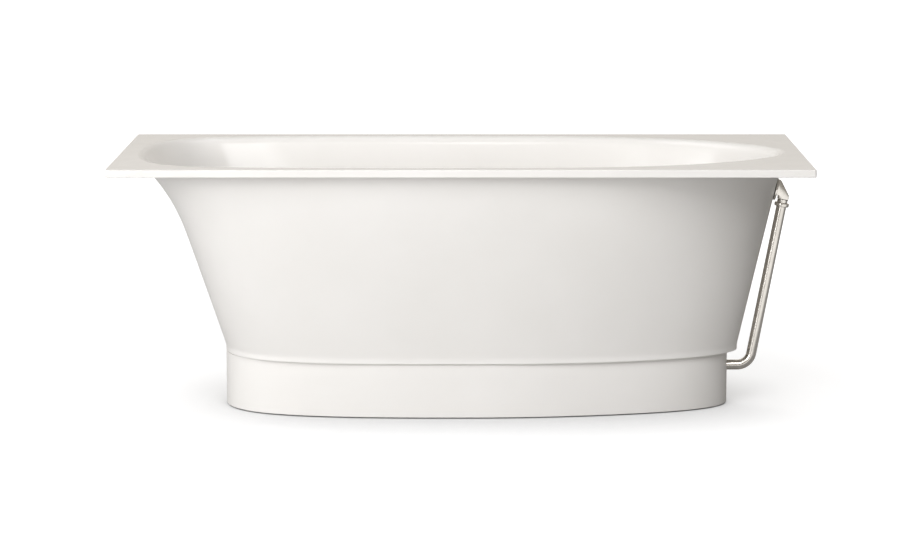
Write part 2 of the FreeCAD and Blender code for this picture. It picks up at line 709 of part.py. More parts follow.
def make_click_barrel():
    body = new_body("click_barrel", **AT_FLOOR)
    collar, bore = f"{BARREL} + {cell('barrel_collar_width')}", cell("barrel_bore")
    collar_top = f"{HUB_LOW} - {cell('thread_clearance')}"
    guide = f"{cell('stem_radius')} + {cell('running_clearance')}"
    turned(body, "barrel", [
        ("0", BARREL_LOW), (collar, BARREL_LOW), (collar, collar_top), (BARREL, collar_top),
        (BARREL, BARREL_HIGH), (guide, BARREL_HIGH), (guide, GUIDE_LOW),
        (bore, GUIDE_LOW), (bore, HUB_LOW), ("0", HUB_LOW),
    ])
    return body


def make_click_spring():
    """Helical spring that lifts the stem, standing on the barrel's bottom."""
    body = new_body("click_spring", **AT_FLOOR)
    wire = cell("spring_wire")
    section = new_sketch(body, "wire_outline", "XZ_Plane")
    low = f"{HUB_LOW} + {wire} + {cell('thread_clearance')}"
    add_circle(section, wire, f"{cell('barrel_bore')} - {wire} - {cell('spring_gap')}", low)
    space = f"({STEM_COLLAR_LOW} - {HUB_LOW} - 2 * {wire} - 2 * {cell('thread_clearance')})"
    doc.recompute()
    coil = body.newObject("PartDesign::AdditiveHelix", "coil")
    coil.Profile = section
    coil.ReferenceAxis = (section, ["V_Axis"])
    coil.Mode = 0
    coil.setExpression("Pitch", f"{space} / {cell('spring_turns')}")
    coil.setExpression("Height", space)
    return body


def make_plug_stem():
    body = new_body("plug_stem", **AT_FLOOR)
    stem, collar = cell("stem_radius"), f"{cell('barrel_bore')} - {cell('running_clearance')}"
    top = f"{CAP_LOW} - {cell('thread_clearance')}"
    turned(body, "stem", [
        ("0", STEM_COLLAR_LOW), (collar, STEM_COLLAR_LOW), (collar, STEM_COLLAR_HIGH),
        (stem, STEM_COLLAR_HIGH), (stem, top), ("0", top),
    ])
    return body


def make_plug_cap():
    """Domed cap with a boss that takes the stem."""
    body = new_body("plug_cap", **AT_FLOOR)
    radius, boss = cell("cap_radius"), cell("cap_boss")
    bore = f"{cell('stem_radius')} + {cell('running_clearance')}"
    boss_low = f"{CAP_LOW} - {cell('cap_boss_depth')}"
    edge = f"{CAP_LOW} + {cell('cap_edge')}"
    crown = f"{edge} + {cell('cap_crown')}"
    turned(body, "cap", [
        ("0", CAP_LOW), (bore, CAP_LOW), (bore, boss_low), (boss, boss_low), (boss, CAP_LOW),
        (radius, CAP_LOW), (radius, edge), (f"{radius} * 0.8", f"{edge} + {cell('cap_crown')} * 0.45"),
        (f"{radius} * 0.5", f"{edge} + {cell('cap_crown')} * 0.8"), ("0", crown),
    ])
    return body


def make_plug_seal():
    body = new_body("plug_seal", **AT_FLOOR)
    inner, bend = cell("seal_inner"), f"({SEAL_LOW} + {cell('seal_bevel')})"

    def beside_dish(level):
        return f"{DISH_RIM} - ({cell('flange_rise')} - {level}) * {DISH_SLOPE} - {cell('seat_clearance')}"

    turned(body, "seal", [
        (inner, SEAL_LOW), (beside_dish(SEAL_LOW), SEAL_LOW), (beside_dish(bend), bend),
        (beside_dish(bend), CAP_LOW), (inner, CAP_LOW),
    ])
    return body


# ------------------------------------------------------------------ tee and outlet
TEE_LOW = f"(-{cell('inlet_depth')} - {cell('inlet_radius')})"
SPIGOT_LOW = f"({TEE_LOW} - {cell('spigot_length')})"
INLET_AXIS = f"-{cell('inlet_depth')}"
TUBE_HOLE = f"({cell('tube_radius')} + {cell('thread_clearance')})"


def make_waste_body():
    """Tee under the basin: threaded for the flange's tail, side inlet for the overflow, spigot below."""
    body = new_body("waste_body", **AT_UNDERSIDE)
    rim, tee, spigot = cell("tee_rim"), cell("tee_radius"), cell("spigot_radius")
    rim_low = f"{TEE_HIGH} - {cell('tee_rim_height')}"
    turned(body, "casing", [
        ("0", TEE_HIGH), (rim, TEE_HIGH), (rim, rim_low), (tee, rim_low), (tee, TEE_LOW),
        (spigot, TEE_LOW), (spigot, SPIGOT_LOW), ("0", SPIGOT_LOW),
    ])
    branch = new_sketch(body, "branch_outline", "YZ_Plane")
    add_circle(branch, cell("inlet_radius"), "0", INLET_AXIS)
    pad(body, "branch", branch, cell("inlet_reach"))
    thread = f"{cell('flange_tail')} + {cell('thread_clearance')}"
    turned_cut(body, "chamber", [
        ("0", TEE_HIGH), (thread, TEE_HIGH), (thread, TEE_SHOULDER), (cell("tee_bore"), TEE_SHOULDER),
        (cell("tee_bore"), SPIGOT_LOW), ("0", SPIGOT_LOW),
    ])
    way = new_sketch(body, "way_outline", "YZ_Plane", lift=cell("inlet_reach"))
    add_circle(way, cell("inlet_bore"), "0", INLET_AXIS)
    cut(body, "way", way, cell("inlet_reach"))
    socket = new_sketch(body, "socket_outline", "YZ_Plane", lift=cell("inlet_reach"))
    add_circle(socket, TUBE_HOLE, "0", INLET_AXIS)
    cut(body, "socket", socket, f"{cell('inlet_grip')} + {cell('seat_clearance')}")
    return body


AT_RUN = {"x": WASTE_X, "z": RUN_LEVEL}
INLET_SHOULDER = f"({cell('inlet_reach')} + {cell('inlet_washer_length')} + {cell('thread_clearance')})"


def make_inlet_washer():
    return ring("inlet_washer", TUBE_HOLE, cell("inlet_radius"), cell("inlet_reach"),
                f"{cell('inlet_reach')} + {cell('inlet_washer_length')}", axis="H_Axis", **AT_RUN)


def make_inlet_nut():
    body = new_body("inlet_nut", **AT_RUN)
    thread = f"{cell('inlet_radius')} + {cell('thread_clearance')}"
    high = f"{INLET_SHOULDER} + {cell('nut_lip')}"
    low = f"({high} - {cell('inlet_nut_length')})"
    bore = f"{TUBE_HOLE} + {cell('thread_clearance')}"
    outer = f"{cell('inlet_radius')} + {cell('inlet_nut_wall')}"
    turned(body, "nut", [
        (low, thread), (low, outer), (high, outer), (high, bore),
        (INLET_SHOULDER, bore), (INLET_SHOULDER, thread),
    ], axis="H_Axis")
    return body


OUTLET_TOP = f"({SPIGOT_LOW} - {cell('outlet_washer_height')})"
OUTLET_COLLAR_LOW = f"({OUTLET_TOP} - {cell('outlet_collar_height')})"
OUTLET_COLLAR = f"({cell('spigot_radius')} - 0.2)"
OUTLET_NECK = f"({cell('outlet_radius')} + {cell('outlet_neck_step')})"
OUTLET_LIP_HIGH = f"({OUTLET_COLLAR_LOW} - {cell('thread_clearance')})"
OUTLET_NUT_LOW = f"({OUTLET_LIP_HIGH} - {cell('nut_lip')})"


def make_outlet_washer():
    return ring("outlet_washer", cell("tee_bore"), OUTLET_COLLAR, OUTLET_TOP, SPIGOT_LOW, **AT_UNDERSIDE)


def make_outlet_nut():
    body = new_body("outlet_nut", **AT_UNDERSIDE)
    thread = f"{cell('spigot_radius')} + {cell('thread_clearance')}"
    low, high = OUTLET_NUT_LOW, f"({TEE_LOW} - {cell('outlet_nut_gap')})"
    outer = f"{cell('spigot_radius')} + {cell('outlet_nut_wall')}"
    bore = f"{OUTLET_NECK} + {cell('seat_clearance')}"
    turned(body, "nut", [
        (thread, high), (outer, high), (outer, low), (bore, low), (bore, OUTLET_LIP_HIGH),
        (thread, OUTLET_LIP_HIGH),
    ])
    return body


def make_outlet_pipe():
    """Straight drop to the drain in the floor, with a collar caught in the outlet nut."""
    body = new_body("outlet_pipe", **AT_UNDERSIDE)
    outer, inner = cell("outlet_radius"), f"{cell('outlet_radius')} - {cell('outlet_wall')}"
    low, neck_low = f"({cell('outlet_free_end')} - {UNDERSIDE})", f"({OUTLET_NUT_LOW} - {cell('outlet_neck_drop')})"
    turned(body, "pipe", [
        (inner, low), (outer, low), (outer, neck_low), (OUTLET_NECK, neck_low), (OUTLET_NECK, OUTLET_COLLAR_LOW),
        (OUTLET_COLLAR, OUTLET_COLLAR_LOW), (OUTLET_COLLAR, OUTLET_TOP), (inner, OUTLET_TOP),
    ])
    return body


# ------------------------------------------------------------------ overflow
ELBOW_HALF = f"({cell('tube_radius')} + {cell('elbow_step')})"
ELBOW_BORE = f"({ELBOW_HALF} - {cell('elbow_wall')})"
FLANGE_BACK = f"(-{cell('spot_depth')} + {cell('overflow_gasket_height')})"
FLANGE_FRONT = f"({FLANGE_BACK} + {cell('elbow_flange_height')})"
ELBOW_FACE = f"({cell('tube_standoff')} + {ELBOW_HALF})"
ELBOW_INSIDE = f"({cell('tube_standoff')} - {ELBOW_HALF})"
DROP_END = f"(-{cell('elbow_drop')})"
TUBE_TOP = f"({DROP_END} - {cell('seat_clearance')})"
COVER_BACK = f"({INSIDE_SEAT} - {cell('cover_depth')})"
COLLAR_CAVITY = f"({cell('tube_radius')} + {cell('collar_washer_width')})"
COLLAR_HIGH = f"({DROP_END} + {cell('collar_overlap')})"
COLLAR_LOW = f"({COLLAR_HIGH} - {cell('collar_height')})"
COLLAR_LIP = f"({COLLAR_LOW} + {cell('collar_lip')})"


def overflow_body(label):
    """A body whose X axis leaves the nose square to the pipe, and whose Z axis is the pipe's."""
    body = new_body(label, OVERFLOW_X, "0", OVERFLOW_LEVEL)
    body.Placement = Placement(body.Placement.Base, Rotation(Vector(0, 1, 0), 1.0))
    body.setExpression("Placement.Rotation.Angle", TUBE_RAKE)
    return body


def make_overflow_gasket():
    body = overflow_body("overflow_gasket")
    seat = f"-{cell('spot_depth')}"
    inner = f"({cell('overflow_hole')} + 0.5)"
    outer = f"{inner} + {cell('overflow_gasket_width')}"
    turned(body, "ring", [(seat, inner), (FLANGE_BACK, inner), (FLANGE_BACK, outer), (seat, outer)],
           axis="H_Axis")
    return body


def make_overflow_elbow():
    """Cast elbow: round flange, wedge-shaped knee, and a round end for the collar nut."""
    body = overflow_body("overflow_elbow")
    turned(body, "flange", [
        (FLANGE_BACK, "0"), (FLANGE_FRONT, "0"), (FLANGE_FRONT, cell("elbow_flange_radius")),
        (FLANGE_BACK, cell("elbow_flange_radius")),
    ], axis="H_Axis")
    side = new_sketch(body, "knee_outline", "XZ_Plane")
    root, crotch = f"{FLANGE_FRONT} - 2", f"-{cell('elbow_crotch')}"
    straight = f"(-{cell('elbow_drop')} * 0.7)"
    shoulder = f"sqrt(({cell('elbow_flange_radius')} - {cell('seat_clearance')})^2 - {ELBOW_HALF}^2)"
    add_polygon(side, [
        (root, crotch), (root, shoulder), (cell("elbow_shoulder_reach"), shoulder),
        (ELBOW_FACE, f"-{cell('elbow_knee')}"), (ELBOW_FACE, straight), (ELBOW_INSIDE, straight),
        (ELBOW_INSIDE, crotch),
    ])
    pad(body, "knee", side, f"2 * {ELBOW_HALF}", Midplane=True)
    doc.recompute()
    half, front = value(ELBOW_HALF), value(FLANGE_FRONT)
    low, standoff = value(straight), value(cell("tube_standoff"))
    sides = [name for name, middle in edge_middles(body) if (
        abs(abs(middle.y) - half) < 0.01 and middle.x > front + 1 and middle.z > low + 1
        and (middle.x > standoff or middle.z > 0))]
    soften(body, "Fillet", "knee_softening", sides, cell("elbow_softening"))
    end = new_sketch(body, "end_outline", lift=DROP_END)
    add_circle(end, ELBOW_HALF, cell("tube_standoff"), "0")
    pad(body, "end", end, f"{straight} - {DROP_END} + 4")

    down = new_sketch(body, "down_outline", lift=DROP_END)
    add_circle(down, ELBOW_BORE, cell("tube_standoff"), "0")
    cut(body, "down_bore", down, f"{cell('elbow_drop')} + 4", Reversed=True)
    turned_cut(body, "in_bore", [
        (FLANGE_BACK, "0"), (f"{cell('tube_standoff')} + 4", "0"),
        (f"{cell('tube_standoff')} + 4", ELBOW_BORE), (FLANGE_BACK, ELBOW_BORE),
    ], axis="H_Axis")

    bar = new_sketch(body, "bar_outline", "YZ_Plane", lift=FLANGE_BACK)
    add_polygon(bar, rectangle(cell("elbow_bar"), f"2 * {ELBOW_BORE} + 2"))
    pad(body, "bar", bar, cell("elbow_boss_depth"))
    boss = new_sketch(body, "boss_outline", "YZ_Plane", lift=FLANGE_BACK)
    add_circle(boss, cell("elbow_boss"))
    pad(body, "boss", boss, cell("elbow_boss_depth"))
    tapped = new_sketch(body, "tapped_outline", "YZ_Plane", lift=FLANGE_BACK)
    add_circle(tapped, f"{cell('screw_radius')} + {cell('thread_clearance')}")
    cut(body, "tapped_hole", tapped, cell("elbow_boss_depth"), Reversed=True)
    return body


def make_overflow_collar():
    """Ring nut that squeezes the washer onto the pipe."""
    body = overflow_body("overflow_collar")
    thread = f"{ELBOW_HALF} + {cell('thread_clearance')}"
    outer, chamfer = f"{COLLAR_CAVITY} + {cell('collar_wall')}", cell("collar_chamfer")
    bore = f"{TUBE_HOLE} + {cell('thread_clearance')}"
    turned(body, "nut", [
        (thread, COLLAR_HIGH), (f"{outer} - 1", COLLAR_HIGH), (outer, f"{COLLAR_HIGH} - 1"),
        (outer, f"{COLLAR_LOW} + {chamfer}"), (f"{outer} - {chamfer}", COLLAR_LOW), (bore, COLLAR_LOW),
        (bore, COLLAR_LIP), (COLLAR_CAVITY, COLLAR_LIP), (COLLAR_CAVITY, DROP_END), (thread, DROP_END),
    ], shift=cell("tube_standoff"))
    return body


def make_overflow_washer():
    body = overflow_body("overflow_washer")
    clear = cell("thread_clearance")
    low, high, outer = f"{COLLAR_LIP} + {clear}", f"{DROP_END} - {clear}", f"{COLLAR_CAVITY} - {clear}"
    turned(body, "washer", [(TUBE_HOLE, low), (outer, low), (outer, high), (TUBE_HOLE, high)],
           shift=cell("tube_standoff"))
    return body


def make_overflow_tube():
    """One inch pipe: down beside the nose, one bend, and in through the plinth to the tee."""
    body = new_body("overflow_tube")
    rake, run, bend = TUBE_RAKE, RUN_LEVEL, cell("tube_bend")
    top_x = f"({OVERFLOW_X} + {cell('tube_standoff')} * cos({rake}) + {TUBE_TOP} * sin({rake}))"
    top_z = f"({OVERFLOW_LEVEL} - {cell('tube_standoff')} * sin({rake}) + {TUBE_TOP} * cos({rake}))"
    corner_x = f"({top_x} - ({top_z} - {run}) * tan({rake}))"
    setback = f"({bend} * tan((90 - {rake}) / 2))"
    end_x = f"({WASTE_X} + {cell('inlet_reach')} - {cell('inlet_grip')})"
    after_x, after_z = f"({corner_x} + {setback} * sin({rake}))", f"({run} + {setback} * cos({rake}))"

    path = new_sketch(body, "path", "XZ_Plane")
    corners = [(end_x, run), (f"{corner_x} - {setback}", run), (after_x, after_z), (top_x, top_z)]
    start, before, after, top = [Vector(value(x), value(z), 0) for x, z in corners]
    centre = before + Vector(0, value(bend), 0)
    path.addGeometry(Part.LineSegment(start, before))
    turn = Part.Circle(centre, Vector(0, 0, 1), value(bend))
    path.addGeometry(Part.ArcOfCircle(turn, turn.parameter(before), turn.parameter(after)))
    path.addGeometry(Part.LineSegment(after, top))
    path.addConstraint(Sketcher.Constraint("Coincident", 0, 2, 1, 1))
    path.addConstraint(Sketcher.Constraint("Coincident", 1, 2, 2, 1))
    for (line, end), (x, z) in zip([(0, 1), (0, 2), (2, 1), (2, 2)], corners):
        place_point(path, line, end, x, z)
    bind(path, [(("Radius", 1), bend)])

    section = new_sketch(body, "section", "YZ_Plane", lift=end_x)
    add_circle(section, cell("tube_radius"), "0", run)
    add_circle(section, f"{cell('tube_radius')} - {cell('tube_wall')}", "0", run)
    doc.recompute()
    feature(body, "AdditivePipe", "tube", section, Spine=(path, ["Edge1", "Edge2", "Edge3"]))
    return body


def make_overflow_cover():
    """Cup-shaped cover inside the basin, with water slots round its rim."""
    body = overflow_body("overflow_cover")
    outer, skin = cell("cover_radius"), cell("cover_skin")
    hole = f"{cell('screw_radius')} + {cell('thread_clearance')}"
    turned(body, "cup", [
        (INSIDE_SEAT, f"{outer} - {skin}"), (INSIDE_SEAT, outer), (f"{COVER_BACK} + 1", outer),
        (COVER_BACK, f"{outer} - 1.5"), (COVER_BACK, hole), (f"{COVER_BACK} + {skin}", hole),
        (f"{COVER_BACK} + {skin}", f"{outer} - {skin}"),
    ], axis="H_Axis")
    slot = new_sketch(body, "slot_outline", "YZ_Plane", lift=INSIDE_SEAT)
    half = f"{cell('cover_slot_width')} / 2"
    add_polygon(slot, [
        (f"-{half}", f"{outer} - 2 * {skin}"), (half, f"{outer} - 2 * {skin}"),
        (half, f"{outer} + 1"), (f"-{half}", f"{outer} + 1"),
    ])
    notch = cut(body, "slot", slot, cell("cover_slot_depth"))
    slots = body.newObject("PartDesign::PolarPattern", "slots")
    slots.Originals = [notch]
    slots.Axis = (slot, ["N_Axis"])
    slots.Angle = 360.0
    slots.setExpression("Occurrences", cell("cover_slots"))
    body.Tip = slots
    return body


def make_overflow_screw():
    body = overflow_body("overflow_screw")
    shank, head = cell("screw_radius"), cell("screw_head")
    seat = COVER_BACK
    front = f"({seat} - {cell('screw_head_height')})"
    tip = f"({FLANGE_BACK} + {cell('elbow_boss_depth')} - {cell('screw_end_gap')})"
    turned(body, "screw", [
        (front, "0"), (front, f"{head} - 1"), (f"{front} + 1", head), (seat, head),
        (seat, shank), (tip, shank), (tip, "0"),
    ], axis="H_Axis")
    slot = new_sketch(body, "slot_outline", "YZ_Plane", lift=front)
    add_polygon(slot, rectangle(f"3 * {head}", cell("screw_slot")))
    cut(body, "slot", slot, f"{cell('screw_head_height')} / 2", Reversed=True)
    return body


# ------------------------------------------------------------------ build, check and write
def make_all():
    pieces = [make_bath_shell(), make_plinth_ring(), make_plinth_bead()]
    for corner, (x, y) in FEET.items():
        pieces += [make_foot_block(corner, x, y), make_foot_stud(corner, x, y), make_foot_pad(corner, x, y)]
    pieces += [make_foot_inserts(), make_foot_locknuts()]
    pieces += [make_waste_gasket_upper(), make_waste_gasket_lower(), make_waste_flange()]
    pieces += [make_click_barrel(), make_click_spring(), make_plug_stem(), make_plug_cap(), make_plug_seal()]
    pieces += [make_waste_body(), make_inlet_washer(), make_inlet_nut()]
    pieces += [make_outlet_washer(), make_outlet_nut(), make_outlet_pipe()]
    pieces += [make_overflow_gasket(), make_overflow_elbow(), make_overflow_collar(), make_overflow_washer()]
    pieces += [make_overflow_tube(), make_overflow_cover(), make_overflow_screw()]
    doc.recompute()
    return pieces


def check(pieces):
    for item in doc.Objects:
        if "Invalid" in item.State or "Error" in item.State:
            raise RuntimeError(f"{item.Label} failed: {item.State}")
    for piece in pieces:
        expected = len(piece.Links) if piece.TypeId == "Part::Compound" else 1
        if piece.Shape.isNull() or not piece.Shape.isValid() or len(piece.Shape.Solids) != expected:
            raise RuntimeError(f"{piece.Label} doesn't have {expected} valid solid(s)")


parts = make_all()
check(parts)
os.makedirs("parts", exist_ok=True)
for part in parts:
    part.Shape.exportStep(f"parts/{part.Label}.step")
    print(f"{part.Label}: {len(part.Shape.Solids)} solid(s), {part.Shape.Volume / 1000:.2f} cm3")
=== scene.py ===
import json
import math
import bpy
import numpy as np
from mathutils import Matrix, Vector


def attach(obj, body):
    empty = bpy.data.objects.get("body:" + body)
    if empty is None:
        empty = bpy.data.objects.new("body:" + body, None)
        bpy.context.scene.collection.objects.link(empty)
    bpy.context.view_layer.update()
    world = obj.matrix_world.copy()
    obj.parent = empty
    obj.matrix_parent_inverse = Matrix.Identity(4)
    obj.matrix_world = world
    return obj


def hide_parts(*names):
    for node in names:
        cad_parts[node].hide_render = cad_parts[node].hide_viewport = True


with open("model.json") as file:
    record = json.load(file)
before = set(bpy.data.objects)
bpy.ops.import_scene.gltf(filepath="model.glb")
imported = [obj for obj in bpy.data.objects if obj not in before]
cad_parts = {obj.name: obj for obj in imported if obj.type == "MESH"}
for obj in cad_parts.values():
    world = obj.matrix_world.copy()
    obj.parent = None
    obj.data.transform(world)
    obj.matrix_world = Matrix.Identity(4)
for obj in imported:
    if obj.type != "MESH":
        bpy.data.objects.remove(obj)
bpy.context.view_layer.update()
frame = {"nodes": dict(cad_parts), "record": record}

# Bathtub with a flat deck on an oval plinth and an exposed overflow pipe. Sizes are in millimetres;
# +X is the overflow end (the nose), -X the sloping back rest (the toe), and the front faces -Y.
MM = 0.001

# ------------------------------------------------------------------ sizes
DECK_HALF_LENGTH, DECK_HALF_WIDTH, DECK_TOP, DECK_UNDER = 850.0, 375.0, 640.0, 621.0
DECK_CORNER, DECK_SOFTENING = 5.0, 2.0
PLINTH_FOOT, PLINTH_TOP = 3.0, 137.0
SHELL_BASE, UNDERSIDE, BAND_TOP, FLOOR = 138.5, 150.0, 152.0, 170.0
WALL_RISE = DECK_UNDER - BAND_TOP
NOSE_SLOPE = math.radians(12.97)
WALL, LIP_ROUND, FLOOR_ROUND, COVE_ROUND = 17.0, 26.0, 45.0, 5.0
PLINTH_WALL, LEDGE = 16.0, 6.0
BASE_TOE, BASE_BEAM = 594.0, 223.0
NOSE_LEAN = WALL_RISE * math.tan(NOSE_SLOPE)
BASE_NOSE = DECK_HALF_LENGTH - 45.0 - NOSE_LEAN
WASTE_X = BASE_NOSE - 227.0
OVERFLOW_LEVEL = 545.0
OVERFLOW_X = BASE_NOSE + (OVERFLOW_LEVEL - BAND_TOP) * math.tan(NOSE_SLOPE)
PIPE_RAKE = math.radians(10.6)
PIPE_RADIUS, PIPE_WALL, PIPE_BEND, PIPE_STANDOFF, RUN_LEVEL = 12.7, 1.5, 36.0, 24.5, 96.0
PIPE_OUT = Vector((math.cos(PIPE_RAKE), 0.0, -math.sin(PIPE_RAKE)))
PIPE_UP = Vector((math.sin(PIPE_RAKE), 0.0, math.cos(PIPE_RAKE)))
INSIDE_SEAT = -WALL * math.cos(NOSE_SLOPE) + 2.0    # the cover's seat, from the outside wall
COVER_BACK = INSIDE_SEAT - 9.5
RIM_HALF_LENGTH, RIM_HALF_WIDTH = 813.0, 340.0  # of the well's rim, roughly
TOE_FULLNESS = 0.8
FOOT_SOFTENING, BAND_SOFTENING, PLINTH_SOFTENING = 1.5, 5.0, 1.5
WALL_START = 158.0                              # the wall is plain from here up
BEAD_SETBACK, BEAD_WIDTH, BEAD_HOLLOW = 3.0, 9.0, 0.35
WASTE_HOLE, WASTE_RECESS, RECESS_DEPTH, RECESS_LIP = 26.0, 38.0, 5.0, 1.5
OVERFLOW_HOLE, OUTER_SPOT, INNER_SPOT, SPOT_DEPTH = 16.0, 30.0, 33.0, 2.5
PIPE_HOLE_GAP, PIPE_START, PIPE_TOP = 0.8, 38.0, -33.3
ELBOW_BORE = 10.5

AROUND = 384                                    # points round the basin and the plinth
SPANS = 12                                      # of an outline's curve
STEPS = np.arange(AROUND) * float(SPANS) / AROUND    # the points' places along those spans
QUARTER_TURN = np.radians([0, 30, 60, 90])
ROUNDING_STEPS = 5
ON_AXIS = 0.001                                 # radius that stands for the axis of a turned shape


# ------------------------------------------------------------------ making meshes
def piece_of(name, shells, finish, replaced=(), body="bath", sharp=35.0):
    """One or more closed shells as a piece of the bath, riding on a body."""
    obj = mesh_object(name, shells)
    obj.data.materials.append(finish)
    smooth_by_angle(obj, sharp)
    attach(obj, body)
    if replaced:
        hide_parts(*replaced)
    return obj


def mesh_object(name, shells):
    points, faces = [], []
    for shell_points, shell_faces in shells:
        first = len(points)
        points += [tuple(point) for point in shell_points]
        faces += [tuple(first + i for i in face) for face in shell_faces]
    mesh = bpy.data.meshes.new(name)
    mesh.from_pydata(points, [], faces)
    mesh.update()
    obj = bpy.data.objects.new(name, mesh)
    bpy.context.scene.collection.objects.link(obj)
    return obj


def smooth_by_angle(obj, sharp):
    obj.data.shade_smooth()
    obj.data.set_sharp_from_angle(angle=math.radians(sharp))


def even_normals(obj):
    """Keeps broad flat faces flat next to narrow rounded ones."""
    modifier = obj.modifiers.new("even_normals", "WEIGHTED_NORMAL")
    modifier.keep_sharp = True
    modifier.weight = 60


def skin_of(rings, closed=False):
    """Points and faces over a row of equal rings: capped at both ends, or closed on itself."""
    count, around = len(rings), len(rings[0])
    points = np.concatenate(rings) * MM
    faces = []
    for row in range(count if closed else count - 1):
        low, high = row * around, (row + 1) % count * around
        for i in range(around):
            j = (i + 1) % around
            faces.append((low + i, low + j, high + j, high + i))
    if not closed:
        faces.append(tuple(reversed(range(around))))
        faces.append(tuple((count - 1) * around + i for i in range(around)))
    return points, faces


def carved(obj, cutters):
    """Takes the cutters' volumes out of a piece, then discards them."""
    for cutter in cutters:
        modifier = obj.modifiers.new("carve", "BOOLEAN")
        modifier.operation = "DIFFERENCE"
        modifier.solver = "EXACT"
        modifier.object = cutter
    graph = bpy.context.evaluated_depsgraph_get()
    mesh = bpy.data.meshes.new_from_object(obj.evaluated_get(graph))
    obj.modifiers.clear()
    old, obj.data = obj.data, mesh
    mesh.name = old.name
    for cutter in cutters:
        bpy.data.objects.remove(cutter)


def turned_rings(profile, place, segments):
    """Rings of a turned shape: profile pairs are radius and height along the place's Z axis."""
    angles = np.arange(segments) * 2 * math.pi / segments
    matrix = np.array(place)
    rings = []
    for radius, height in profile:
        ring = np.column_stack([
            radius * np.cos(angles), radius * np.sin(angles), np.full(segments, height)])
        rings.append(ring @ matrix[:3, :3].T + matrix[:3, 3])
    return rings


def cutter_from(shells):
    """A solid used only to carve another."""
    return mesh_object("cutter", shells)


def block(low, high, place):
    """A box between two corners of a place's own frame."""
    corners = [place @ Vector((x, y, z)) * MM
               for z in (low[2], high[2]) for y in (low[1], high[1]) for x in (low[0], high[0])]
    faces = [(0, 2, 3, 1), (4, 5, 7, 6), (0, 1, 5, 4), (2, 6, 7, 3), (0, 4, 6, 2), (1, 3, 7, 5)]
    return corners, faces


def softened_slab(outline, half, soft, place):
    """A slab of a place's XZ outline (height out, then up), its side edges rounded over."""
    count = len(outline)
    middle = np.array(outline)
    following = np.roll(middle, -1, axis=0)
    ahead, back = following - middle, middle - np.roll(middle, 1, axis=0)
    ahead /= np.maximum(np.linalg.norm(ahead, axis=1, keepdims=True), 1e-9)
    back /= np.maximum(np.linalg.norm(back, axis=1, keepdims=True), 1e-9)
    mitre = ahead + back
    mitre /= np.linalg.norm(mitre, axis=1, keepdims=True)
    inward = np.column_stack([-mitre[:, 1], mitre[:, 0]])
    area = 0.5 * np.sum(middle[:, 0] * following[:, 1] - following[:, 0] * middle[:, 1])
    inward *= math.copysign(1.0, area)
    matrix = np.array(place)
    rings = []
    angles = np.linspace(0, math.pi / 2, ROUNDING_STEPS)
    levels = [(-half + soft * (1 - math.sin(a)), soft * (1 - math.cos(a))) for a in angles[::-1]]
    levels += [(half - soft * (1 - math.sin(a)), soft * (1 - math.cos(a))) for a in angles]
    for side, shrink in levels:
        flat = middle + inward * shrink
        ring = np.column_stack([flat[:, 1], np.full(count, side), flat[:, 0]])
        rings.append(ring @ matrix[:3, :3].T + matrix[:3, 3])
    return skin_of(rings)


def rounded(profile, rounds, steps=ROUNDING_STEPS):
    """A closed profile with its corners rounded: one radius for each corner."""
    corners = [Vector(point) for point in profile]
    line = []
    for i, (corner, radius) in enumerate(zip(corners, rounds)):
        if not radius:
            line.append(tuple(corner))
            continue
        back = (corners[i - 1] - corner).normalized()
        ahead = (corners[(i + 1) % len(corners)] - corner).normalized()
        half = back.angle(ahead) / 2
        centre = corner + (back + ahead).normalized() * (radius / math.sin(half))
        setback = radius / math.tan(half)
        start, end = corner + back * setback, corner + ahead * setback
        first = math.atan2(start.y - centre.y, start.x - centre.x)
        sweep = math.atan2(end.y - centre.y, end.x - centre.x) - first
        sweep = (sweep + math.pi) % (2 * math.pi) - math.pi
        for k in range(steps + 1):
            angle = first + sweep * k / steps
            line.append((centre.x + radius * math.cos(angle), centre.y + radius * math.sin(angle)))
    return line


def at_floor():
    """Frame of the waste: its axis where it meets the well's floor."""
    return Matrix.Translation((WASTE_X, 0.0, FLOOR))


def on_nose():
    """Frame of the overflow: Z leaves the nose square to the pipe, X points up along it."""
    turn = Matrix((PIPE_UP, PIPE_OUT.cross(PIPE_UP), PIPE_OUT)).transposed().to_4x4()
    return Matrix.Translation((OVERFLOW_X, 0.0, OVERFLOW_LEVEL)) @ turn


def along_pipe():
    """Frame of the pipe's upper end: Z points up along the pipe, level with the overflow."""
    turn = Matrix((PIPE_OUT, PIPE_UP.cross(PIPE_OUT), PIPE_UP)).transposed().to_4x4()
    return Matrix.Translation(on_nose() @ Vector((0.0, 0.0, PIPE_STANDOFF))) @ turn


